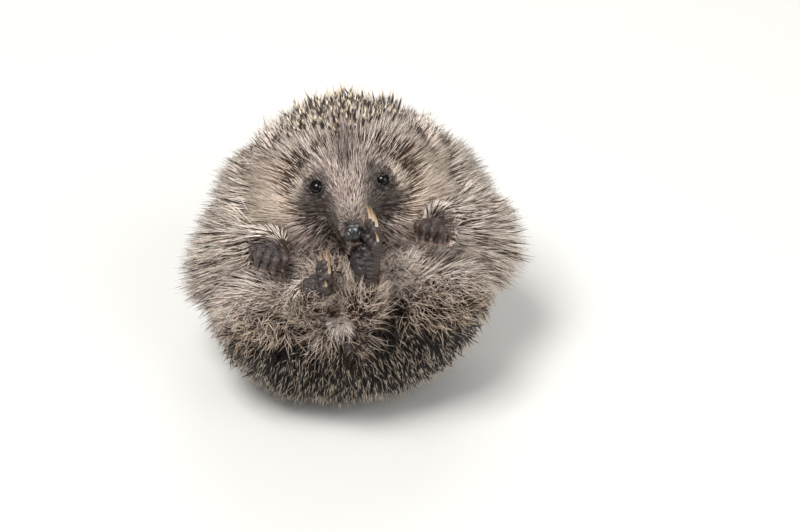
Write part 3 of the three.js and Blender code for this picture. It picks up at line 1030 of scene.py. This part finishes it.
# the underfur is dark: partly its own colour, partly painted shade deep in the coat
underTips = {
    "plain": [(0, "#281c15"), (0.5, "#46372e"), (1, "#68584d")],
    "pale": [(0, "#291b13"), (0.5, "#463427"), (1, "#705a48")],
    "warm": [(0, "#382519"), (0.5, "#614733"), (1, "#8a6c53")],
    "low": [(0, "#120b07"), (0.6, "#24180f"), (1, "#3d2b20")],
    "mask": [(0, "#1c1513"), (0.6, "#322724"), (1, "#4d413c")],
}
underRoots = {"colour": "#1d130d", "band": [(0.0, 0.0), (0.4, 0.6), (0.8, 1.0)]}
tuftTips = {key: [(0, "#9c8678"), (0.3, "#e2d3c9"), (1, "#fbf4ec")] for key in guardTips}
tuftRoots = {"colour": "#a98779", "band": [(0.0, 0.2), (0.3, 1.0)]}
whiskerTips = {key: [(0, "#1c1614"), (0.6, "#4a403a"), (1, "#a89a8c")] for key in guardTips}
whiskerRoots = {"colour": "#17110f", "band": [(0.0, 0.0), (0.5, 1.0)]}


# the skin under the fur is dark brown, as painted shade for the gaps in the coat
skinLayers = {   # dark and light of each kind of skin, from below to above
    "furred": ("#2a1d16", "#403026"), "mask": ("#16100e", "#261e1b"), "pale": ("#3a2a20", "#564437"),
    "low": ("#1d130d", "#30221a"), "foot": ("#25140b", "#412a1e"), "sole": ("#2c211e", "#554643"),
    "lid": ("#070505", "#0f0c0b"), "ear": ("#2a211e", "#463a35"), "pinkAndKnuckleHighlight": ("#a27c70", "#cba89b"),
    # this colour darkens the folds of the feet and the gaps between the toes: painted shade
    "creaseShade": ("#140d0a", "#241a16"), "nose": ("#0a090a", "#1b191c"),
}


def skinMaterial():
    # skin: thin and soft; matt under the fur, wet and black on the nose, leathery on the feet
    material, tree, surface = newMaterial("living skin", {"Specular IOR Level": 0.5, "Coat Roughness": 0.28})
    marks, bare, pinkAndKnuckleHighlight, sole, creaseShadeNode, folds = (
        add(tree, "ShaderNodeAttribute", {"attribute_name": key})
        for key in ("marks", "bare", "pinkAndKnuckleHighlight", "sole", "creases", "folds"))
    place = add(tree, "ShaderNodeTexCoord")
    mottle = add(tree, "ShaderNodeTexNoise", inputs={"Scale": 900.0, "Detail": 4.0, "Roughness": 0.6},
                 links={"Vector": place.outputs["Object"]})   # blotches of about 1.1 mm
    marked, bared = (add(tree, "ShaderNodeSeparateColor", links={"Color": source.outputs["Color"]})
                     for source in (marks, bare))
    foot, nosePad, lid = (bared.outputs[key] for key in ("Red", "Green", "Blue"))
    onSole = add(tree, "ShaderNodeMath", {"operation": "MULTIPLY"}, links={0: sole.outputs["Fac"], 1: foot})
    amounts = {
        "mask": marked.outputs["Red"], "pale": marked.outputs["Blue"], "low": marks.outputs["Alpha"],
        "foot": foot, "sole": onSole.outputs["Value"], "lid": lid, "ear": bare.outputs["Alpha"],
        "pinkAndKnuckleHighlight": pinkAndKnuckleHighlight.outputs["Fac"], "creaseShade": creaseShadeNode.outputs["Fac"], "nose": nosePad,
    }
    between = {key: ((0.3, dark), (0.7, light)) for key, (dark, light) in skinLayers.items()}
    colour = paintOver(tree, mottle.outputs["Fac"], between["furred"],
                       [(amount, between[key]) for key, amount in amounts.items()])
    tree.links.new(colour, surface.inputs["Base Color"])
    sleek = add(tree, "ShaderNodeMath", {"operation": "MULTIPLY_ADD"}, {1: 0.4}, {0: foot, 2: nosePad})
    wet = add(tree, "ShaderNodeMapRange", inputs={"To Min": 0.6, "To Max": 0.26},
              links={"Value": sleek.outputs["Value"]})
    tree.links.new(wet.outputs["Result"], surface.inputs["Roughness"])
    tree.links.new(sleek.outputs["Value"], surface.inputs["Coat Weight"])
    pebble = add(tree, "ShaderNodeTexVoronoi", {"feature": "DISTANCE_TO_EDGE"}, {"Scale": 1700.0},
                 {"Vector": place.outputs["Object"]})   # the skin's grain, about 0.6 mm
    grain = add(tree, "ShaderNodeValToRGB", links={"Fac": pebble.outputs["Distance"]},
                stops=[(0.0, 0.0), (0.18, 1.0)])
    bump = add(tree, "ShaderNodeBump", inputs={"Strength": 0.6, "Distance": 0.0001},
               links={"Height": grain.outputs["Color"]})
    wander = add(tree, "ShaderNodeMath", {"operation": "MULTIPLY_ADD"}, {1: 5.0},
                 {0: mottle.outputs["Fac"], 2: folds.outputs["Fac"]})
    wave = add(tree, "ShaderNodeMath", {"operation": "SINE"}, links={0: wander.outputs["Value"]})
    onFoot = add(tree, "ShaderNodeMath", {"operation": "MULTIPLY"}, links={0: wave.outputs["Value"], 1: foot})
    foldBump = add(tree, "ShaderNodeBump", inputs={"Strength": 0.8, "Distance": 0.00022},
                   links={"Height": onFoot.outputs["Value"], "Normal": bump.outputs["Normal"]})
    tree.links.new(foldBump.outputs["Normal"], surface.inputs["Normal"])
    return material


# build

makeCamera()
makeLights()
say("camera and lights")

skinMesh = makeSkin()
skinPoints = pointsOf(skinMesh)
bare, pinkAndKnuckleHighlight, sole = bareness(skinPoints)
skinPoints, foldRun, creaseShadeAmount = foldFeet(skinPoints, bare, sole)
for attribute, values in (("marks", markings(skinPoints)), ("bare", bare)):
    writeAttribute(skinMesh, attribute, "FLOAT_COLOR", values)
# creases: painted shade in the folds of the feet and between the toes
for attribute, values in (("pinkAndKnuckleHighlight", pinkAndKnuckleHighlight), ("sole", sole), ("folds", foldRun), ("creases", creaseShadeAmount)):
    writeAttribute(skinMesh, attribute, "FLOAT", values)
skinMesh.vertices.foreach_set("co", toWorld(skinPoints).astype(np.float32).ravel())
skinMesh.update()
skinMesh.materials.append(skinMaterial())
skin = inScene("skin", skinMesh)
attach(skin, "root")
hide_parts("head", "jaw", "nose", "ear_left", "ear_right", "belly", "back", "tail",
            "foreleg_left", "foreleg_right", "hindleg_left", "hindleg_right", *feet)
say(f"skin: {len(skinMesh.vertices)} points, {len(skinMesh.polygons)} faces")


def facesOfSkin():
    skinMesh.calc_loop_triangles()
    corners = np.empty(len(skinMesh.loop_triangles) * 3, np.int32)
    skinMesh.loop_triangles.foreach_get("vertices", corners)
    corners = corners.reshape(-1, 3)
    a, b, c = (skinPoints[corners[:, i]] for i in range(3))
    across = np.cross(b - a, c - a)
    middle = (a + b + c) / 3
    bareHere = bare[corners].mean(1)
    return {
        "a": a, "b": b, "c": c, "middle": middle, "area": np.linalg.norm(across, axis=1) / 2,
        "normal": unit(across), "bare": bareHere.max(1), "foot": bareHere[:, 0],
        "sole": sole[corners].mean(1),
        "head": smooth(3.5, 0.5, fleshHead(middle)), "front": inFrontOfSpines(middle),
        "fromNose": distanceTo([nose], middle),
    }


skinFaces = facesOfSkin()
middle, front = skinFaces["middle"], skinFaces["front"]
fromHead, fromRump = np.abs(middle[:, 0] - headX), np.abs(middle[:, 0] - rumpX)
furred = 1 - smooth(0.2, 0.6, skinFaces["bare"])
crown = smooth(28, 44, middle[:, 1]) * smooth(27, 13, fromHead)
face = skinFaces["head"] * smooth(-4, 2, front + 3 * crown) * smooth(51, 43, middle[:, 1])
flank = (smooth(-10, -5, front) * (1 - face) * smooth(-26, -12, middle[:, 1])
         * smooth(12, 24, np.abs(middle[:, 0])))
underside = smooth(-6, 0, front) * (1 - skinFaces["head"]) * (1 - flank) * furred
rump = smooth(-25, -32, middle[:, 1]) * smooth(-26, -8, middle[:, 2]) * smooth(4, -2, front) * furred
spiny = smooth(3, -2, front - 6 * crown) * furred * (1 - 0.9 * rump)

guardMaterial = hairMaterial("guard hair", guardTips, guardRoots)
underMaterial = hairMaterial("underfur", underTips, underRoots)

spineBands = {   # from the root to the tip
    "plain": [(0, "#b8a08a"), (0.46, "#dfcbb2"), (0.54, "#3f2c1f"), (0.72, "#2c1e15"), (0.8, "#efdcc2")],
    "dull": [(0, "#8d7864"), (0.42, "#a08a74"), (0.52, "#2c2018"), (0.84, "#33261d"), (0.92, "#e0cbb0")],
    "dark": [(0, "#2a1d15"), (0.8, "#0c0806"), (0.86, "#d8c5b1")],
}


def spineMaterial():
    # spines: smooth horn, cream with a dark band below the pale tip
    material, tree, surface = newMaterial("spine horn", {"Roughness": 0.35})
    along, shade, marks = (add(tree, "ShaderNodeAttribute", {"attribute_name": key})
                           for key in ("along", "shade", "marks"))
    colour = paintOver(tree, along.outputs["Fac"], spineBands["plain"], (
        (shade.outputs["Fac"], spineBands["dull"]), (marks.outputs["Alpha"], spineBands["dark"])))
    tree.links.new(colour, surface.inputs["Base Color"])
    return material


horn = spineMaterial()


def growSpines(name, look, weight, flow, pick, shuffle, seed):
    # spines stand apart from one another, unlike hairs
    roots, normals = rootsOn(weight, look["count"] * 4, pick)
    order = shuffle.permutation(len(roots))
    roots, normals = apart(roots[order], normals[order], look["gap"], look["count"])
    length = np.full(len(roots), look["length"])
    grow(name, roots, normals, flow(roots, normals), length, look, seed, horn)


def spineFlow(roots, normals):
    return awayFrom(spinesFrom, roots, normals)


def makeSpines():
    look = {**plainHair, "count": 6400, "gap": 1.45, "length": 18.5, "thick": 0.72, "rings": 3, "stray": 0.8,
            "swirl": 0.5, "swirlSize": 22, "reach": 1.05, "lowest": 0.5, "highest": 0.97, "bow": 1.05,
            "proud": 1.2, "taper": spineTaper}
    rng = np.random.default_rng(11)
    growSpines("spines", look, spiny, spineFlow, rng, rng, 12)


def makeCrownSpines():
    # the foremost spines stand up out of the hair of the crown
    look = {**plainHair, "count": 420, "gap": 1.5, "length": 24.5, "thick": 1.0, "rings": 5, "sides": 5,
            "stray": 0.28, "swirl": 0.15, "swirlSize": 15, "reach": 1.0, "lowest": 0.85, "highest": 1.0,
            "bow": 1.0, "proud": 3.0, "taper": spineTaper}
    weight = smooth(39, 44, middle[:, 1]) * smooth(23, 13, fromHead) * smooth(0, 6, middle[:, 2]) * furred

    def upward(roots, normals):
        up = np.stack([(roots[:, 0] - headX) * 0.012, np.ones(len(roots)), np.full(len(roots), -0.3)], 1)
        return laidFlat(up, normals).astype(np.float32)
    growSpines("spines_crown", look, weight, upward, np.random.default_rng(14), np.random.default_rng(15), 16)


def makeRumpSpines():
    # the last spines, nearly black with white tips, show below the hair
    look = {**plainHair, "count": 1700, "gap": 1.1, "length": 18.0, "thick": 0.58, "rings": 4, "stray": 0.22,
            "swirl": 0.2, "swirlSize": 15, "reach": 0.95, "lowest": 0.3, "highest": 0.75, "bow": 1.0,
            "clump": 0.15, "lock": 5, "proud": 1.8, "taper": spineTaper}
    growSpines("spines_rump", look, rump, spineFlow, np.random.default_rng(17), np.random.default_rng(18), 19)


def coatLength(roots):
    # short on the muzzle and round the eyes and paws, longest on the flanks
    fromNose = distanceTo([nose], roots)
    length = 2.2 + 10.3 * smooth(6, 42, fromNose) + 10.5 * smooth(42, 64, fromNose)
    length = length * (0.3 + 0.7 * smooth(4, 10, distanceTo(eyes.values(), roots)))
    length = length * (1 - 0.3 * smooth(-6, -24, roots[:, 1]))
    length = length * (1 - 0.5 * smooth(10, 4, distanceTo(wrists, roots)))
    length = length * (0.45 + 0.55 * smooth(-10, -1, inFrontOfSpines(roots)))
    return length * (1 - 0.55 * smooth(5, 1, pawGap(roots)))


def coatFlow(roots, normals):
    # the hair lies away from the nose over the whole head, and straight out along the flanks
    return awayFrom(hairFrom, roots, normals)


def makeLayers(layers, weight, seed, flow, lengthOf):
    # one or more kinds of hair over the same stretch of skin
    for name, look, material in layers:
        roots, normals = rootsOn(weight * look["share"], look["count"], np.random.default_rng(seed))
        length = lengthOf(roots) * look["long"]
        grow(name, roots, normals, flow(roots, normals), length, look, seed + 1, material)
        seed += 10


def makeFlank(side, word):
    under = {**underHair, "count": 5200, "long": 0.6, "thick": 0.32, "stray": 0.25, "swirl": 0.15,
             "swirlSize": 9, "reach": 0.65}
    guard = {**plainHair, "count": 7000, "long": 1.08, "thick": 0.43, "rings": 3, "stray": 0.13,
             "swirl": 0.12, "swirlSize": 14, "reach": 1.1, "lowest": 0.12, "highest": 0.66, "bow": 1.12,
             "curl": 0.15, "curls": 0.5, "clump": 0.14, "lock": 6, "proud": 2.6}
    layers = ((f"flank_underfur_{word}", under, underMaterial), (f"flank_hair_{word}", guard, guardMaterial))
    weight = flank * furred * (np.sign(middle[:, 0]) == side) * (1 + 1.6 * smooth(14, 3, fleshHead(middle)))
    makeLayers(layers, weight, 20 + 50 * (side > 0), coatFlow, coatLength)


def makeFace(side, word):
    under = {**underHair, "count": 7000, "long": 0.72, "thick": 0.25, "stray": 0.2, "swirl": 0.1,
             "swirlSize": 12, "reach": 0.8, "highest": 0.7}
    guard = {**plainHair, "count": 10200, "long": 1.15, "thick": 0.29, "rings": 3, "stray": 0.15,
             "swirl": 0.1, "swirlSize": 12, "reach": 1.05, "lowest": 0.16, "highest": 0.62, "bow": 1.15,
             "curl": 0.14, "curls": 0.7, "clump": 0.12, "lock": 5, "share": 1 - 0.88 * throatHere(middle)}
    layers = ((f"face_underfur_{word}", under, underMaterial), (f"face_fur_{word}", guard, guardMaterial))
    fromNose = skinFaces["fromNose"]
    weight = face * furred * smooth(8, 22, fromNose) * (1 + 1.0 * smooth(58, 40, fromNose))
    weight = weight * (np.sign(middle[:, 0] - headX) == side)
    makeLayers(layers, weight, 120 + 50 * (side > 0), coatFlow, coatLength)


def makeMuzzle():
    look = {**plainHair, "count": 7400, "long": 1.15, "thick": 0.22, "rings": 3, "stray": 0.15, "swirl": 0.12,
            "swirlSize": 8, "reach": 1.0, "lowest": 0.16, "highest": 0.5, "bow": 1.1, "curl": 0.05,
            "curls": 0.6, "clump": 0.25, "lock": 5}
    weight = face * furred * smooth(40, 10, skinFaces["fromNose"]) * (1 - 0.85 * throatHere(middle))
    makeLayers((("muzzle_fur", look, guardMaterial),), weight, 220, coatFlow, coatLength)


def makeEyeFur():
    # very short hair, close round the lids
    look = {**plainHair, "count": 3000, "long": 1.2, "thick": 0.14, "stray": 0.3, "swirl": 0.15,
            "swirlSize": 5, "reach": 0.5, "lowest": 0.15, "highest": 0.45, "bow": 1.2, "clump": 0.2,
            "lock": 6}
    weight = smooth(8.0, 5.0, distanceTo(eyes.values(), middle)) * furred

    def roundEyes(roots, normals):
        nearest = np.where(roots[:, :1] > headX, vec(*eyes[1])[None], vec(*eyes[-1])[None])
        return unit(awayFrom(nearest, roots, normals) + 0.8 * coatFlow(roots, normals))
    makeLayers((("eye_fur", look, guardMaterial),), weight, 240, roundEyes,
               lambda roots: 1.3 + 0.35 * distanceTo(eyes.values(), roots) - 1.0)


tuftTop = vec(vent[0], vent[1] + 4.4, vent[2] + 1.2)
tuftGap, navelGap = distanceTo([tuftTop], middle), distanceTo(furSpots, middle)


def bellyFlow(roots, normals):
    # round the navel the hair fans out; higher up it runs down between the legs
    fan = awayFrom(pinkSpot, roots, normals)
    down = laidFlat(vec(0, -1, 0) + np.zeros_like(roots), normals)
    for name in hindFeet:
        plan = laidOut[name]
        onLeg = smooth(3.5, 1.0, sleeve(name, 0)(roots))[:, None]
        along = plan["forward"] - (normals @ plan["forward"])[:, None] * normals
        fan = unit(fan * (1 - 0.7 * onLeg) + 1.2 * onLeg * along)
    upper = smooth(-26, -14, roots[:, 1])[:, None] * smooth(6, 16, np.abs(roots[:, 0] - rumpX))[:, None]
    return unit(fan * (1 - upper) + down * upper)


def bellyLength(roots):
    length = 12.0 * (1 - 0.3 * smooth(-14, 0, roots[:, 1]))
    return length * (1 - 0.55 * smooth(4, 0.5, pawGap(roots)))


def makeUnderside(part, weight, counts, seed):
    # the guard hair is thickest by the navel and below the left forepaw, and thin by the vent and the chin
    share = (1.4 - 1.2 * smooth(-10, -25, middle[:, 1]) + 1.3 * smooth(19, 11, navelGap)
             + 0.9 * smooth(15, 6, distanceTo([breast], middle)))
    share = share * (1 - 0.7 * smooth(5, 2.5, tuftGap)) * (1 - 0.8 * smooth(15, 8, distanceTo([underChinShade], middle)))
    under = {**underHair, "count": counts[0], "long": 0.48, "thick": 0.27, "stray": 0.45, "swirl": 0.4,
             "swirlSize": 9, "reach": 0.75, "lowest": 0.25, "bow": 1.1, "lock": 14}
    guard = {**plainHair, "count": counts[1], "long": 1.25, "thick": 0.26, "rings": 6, "stray": 0.7,
             "swirl": 0.6, "swirlSize": 10, "reach": 1.0, "lowest": 0.2, "highest": 0.8, "bow": 1.35,
             "curl": 1.1, "curls": 0.9, "clump": 0.1, "lock": 4, "share": share}
    layers = ((f"{part}_underfur", under, underMaterial), (f"{part}_fur", guard, guardMaterial))
    makeLayers(layers, weight, seed, bellyFlow, bellyLength)


def makeVentTuft():
    # a silky white tuft that falls to both sides of the vent
    look = {**plainHair, "count": 260, "long": 0.9, "thick": 0.34, "rings": 5, "stray": 0.6, "swirl": 0.3,
            "swirlSize": 5, "reach": 1.3, "lowest": 0.5, "highest": 0.9, "bow": 1.5, "curl": 0.5,
            "curls": 0.7, "clump": 0.6, "lock": 9, "proud": 1.5}
    white = hairMaterial("white hair", tuftTips, tuftRoots)
    makeLayers((("vent_tuft", look, white),), smooth(3.0, 1.0, tuftGap), 320,
               lambda roots, normals: awayFrom(tuftTop + vec(0, 3.0, 0), roots, normals), bellyLength)


def makeFootHair():
    # short brown bristles on the backs of the feet, thinning towards the toes
    look = {**plainHair, "count": 2400, "long": 1.0, "thick": 0.15, "stray": 0.3, "swirl": 0.2,
            "swirlSize": 6, "reach": 0.4, "lowest": 0.12, "highest": 0.4, "bow": 1.2, "clump": 0.2, "lock": 8}
    closeTo = lambda plan, p: (np.abs(p - plan["ball"]) < 18).all(1)
    ahead = np.maximum.reduce([(middle - plan["ball"]) @ plan["forward"] * closeTo(plan, middle)
                               for plan in laidOut.values()])
    weight = smooth(0.3, 0.8, skinFaces["foot"]) * smooth(0.35, 0.0, skinFaces["sole"])
    weight = weight * smooth(5.0, -2.0, ahead)

    def alongFoot(roots, normals):
        way = np.zeros_like(roots)
        for plan in laidOut.values():
            way[closeTo(plan, roots)] = plan["forward"]
        return unit(way - (way * normals).sum(1, keepdims=True) * normals + 1e-4)
    makeLayers((("foot_hair", look, underMaterial),), weight, 340, alongFoot,
               lambda roots: np.full(len(roots), 1.7))


def makeWhiskers():
    look = {**plainHair, "count": 22, "long": 1.0, "thick": 0.16, "rings": 8, "stray": 0.25, "swirl": 0,
            "swirlSize": 5, "reach": 1.0, "lowest": 0.55, "highest": 0.75, "bow": 1.5,
            "taper": ([0, 1], [1.0, 0.25])}
    beside = smooth(2.2, 3.6, fromHead) * smooth(5.6, 4.6, fromHead) * smooth(6.5, 4.5, middle[:, 1])
    weight = beside * smooth(43, 44.5, middle[:, 2]) * smooth(49.5, 48, middle[:, 2]) * furred * face
    whisker = hairMaterial("whisker", whiskerTips, whiskerRoots)
    makeLayers((("whiskers", look, whisker),), weight, 360, coatFlow,
               lambda roots: np.full(len(roots), 15.0))


makeSpines()
makeCrownSpines()
makeRumpSpines()
for side, word in bothSides:
    makeFlank(side, word)
    makeFace(side, word)
makeMuzzle()
makeEyeFur()
makeWhiskers()
makeUnderside("belly", underside * smooth(20, 14, fromRump), (4000, 3000), 260)
for side, word in bothSides:
    thigh = underside * smooth(14, 20, (middle[:, 0] - rumpX) * side)
    makeUnderside(f"thigh_{word}", thigh, (3800, 2600), 280 + 20 * (side > 0))
makeVentTuft()
makeFootHair()


# eyes: black and wet, a little more sharply curved in front

eyeLook = {"around": 40, "rings": 28, "front": 0.14, "angle": 75.0}


def makeEye(side, word):
    shape = bmesh.new()
    bmesh.ops.create_uvsphere(shape, u_segments=eyeLook["around"], v_segments=eyeLook["rings"],
                              radius=animal["eyeRadius"] - 0.04)
    way = gaze(side)
    turn = Vector(way).to_track_quat("Z", "Y").to_matrix()
    for vert in shape.verts:
        angle = math.degrees(math.acos(max(-1, min(1, vert.co.z / vert.co.length))))
        bulge = eyeLook["front"] * float(smooth(eyeLook["angle"], 0, angle))
        vert.co = turn @ (vert.co * (1 + bulge / animal["eyeRadius"]))
    for face in shape.faces:
        face.smooth = True
    mesh = bpy.data.meshes.new(f"eyeball_{word}")
    shape.to_mesh(mesh)
    shape.free()
    places = pointsOf(mesh)
    writeAttribute(mesh, "facing", "FLOAT", unit(places) @ way)
    mesh.vertices.foreach_set("co", toWorld(places + vec(*eyes[side])).astype(np.float32).ravel())
    mesh.update()
    piece = inScene(mesh.name, mesh)
    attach(piece, "root")
    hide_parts(f"eye_{word}")
    return piece


def eyeMaterial():
    # a wet eye: near black all over, with only the reflections to give it form
    material, tree, surface = newMaterial("wet eye", {
        "Roughness": 0.03, "IOR": 1.36, "Specular IOR Level": 0.5,
        "Coat Weight": 0.15, "Coat Roughness": 0.02})
    facing = add(tree, "ShaderNodeAttribute", {"attribute_name": "facing"})
    iris = add(tree, "ShaderNodeValToRGB", links={"Fac": facing.outputs["Fac"]},
               stops=[(0.62, "#0d0908"), (0.8, "#060404"), (0.86, "#010101")])
    tree.links.new(iris.outputs["Color"], surface.inputs["Base Color"])
    return material


wetEye = eyeMaterial()
for side, word in bothSides:
    makeEye(side, word).data.materials.append(wetEye)


# claws: narrow horn cones, curved towards the sole and hollowed beneath

clawLook = {"around": 12, "rings": 14, "width": 0.32, "height": 0.46}


def makeClaw(foot, number):
    plan, toe = laidOut[foot], laidOut[foot]["toes"][number - 1]
    tip, around, rings = toe["tip"], clawLook["around"], clawLook["rings"]
    bow = toe["bow"] - plan["facing"] * np.linalg.norm(tip - toe["root"]) * 0.08
    root = toe["root"] - unit(toe["end"] - toe["start"]) * 1.2
    points, along, faces = [], [], []
    for k in range(rings + 1):
        t = k / rings
        place = (1 - t) ** 2 * root + 2 * t * (1 - t) * bow + t * t * tip
        ahead = unit(2 * (1 - t) * (bow - root) + 2 * t * (tip - bow))
        aside = unit(np.cross(ahead, plan["facing"]))
        over = np.cross(aside, ahead)
        fullness = (1 - t) ** 0.7 * (0.85 + 0.15 * min(1, 6 * t)) + 0.06 * (1 - t)
        for j in range(around):
            angle = 2 * math.pi * j / around
            hollow = 1 - 0.35 * max(0.0, -math.sin(angle)) ** 2
            width = toe["radius"] * clawLook["width"] * fullness * math.cos(angle)
            height = toe["radius"] * clawLook["height"] * fullness * math.sin(angle) * hollow
            points.append(place + aside * width + over * height)
            along.append(t)
            if k < rings:
                a, b = k * around + j, k * around + (j + 1) % around
                faces += [(a, b, b + around), (a, b + around, a + around)]
    for j in range(1, around - 1):
        last = rings * around
        faces += [(0, j + 1, j), (last, last + j, last + j + 1)]
    name = f"horn_{foot}_{number}"
    mesh = meshFrom(name, toWorld(np.array(points)), faces)
    writeAttribute(mesh, "along", "FLOAT", along)
    piece = inScene(name, mesh)
    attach(piece, "root")
    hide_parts(f"{foot}_claw_{number}")
    return piece


def clawMaterial():
    # claw horn: smooth and half clear, whitish at the root and amber towards the tip
    material, tree, surface = newMaterial("claw horn", {
        "Roughness": 0.32, "Subsurface Weight": 0.06, "Subsurface Radius": (0.0012, 0.0006, 0.0003),
        "Subsurface Scale": 1.0})
    along = add(tree, "ShaderNodeAttribute", {"attribute_name": "along"})
    colour = add(tree, "ShaderNodeValToRGB", links={"Fac": along.outputs["Fac"]},
                 stops=[(0.2, "#e2d6c6"), (0.45, "#cdb08a"), (0.75, "#a98760"), (1.0, "#7f6446")])
    tree.links.new(colour.outputs["Color"], surface.inputs["Base Color"])
    return material


clawHorn = clawMaterial()
for foot in feet:
    for number in range(1, 6):
        makeClaw(foot, number).data.materials.append(clawHorn)
say("eyes and claws")

bpy.ops.mesh.primitive_plane_add(size=6, location=(0, 0, 0))
floor = bpy.context.object
floor.name = "floor"
paper = newMaterial("floor paper", {"Base Color": linear("#dddbd7"), "Roughness": 0.9})[0]
floor.data.materials.append(paper)

bpy.context.scene.view_settings.view_transform = "Standard"
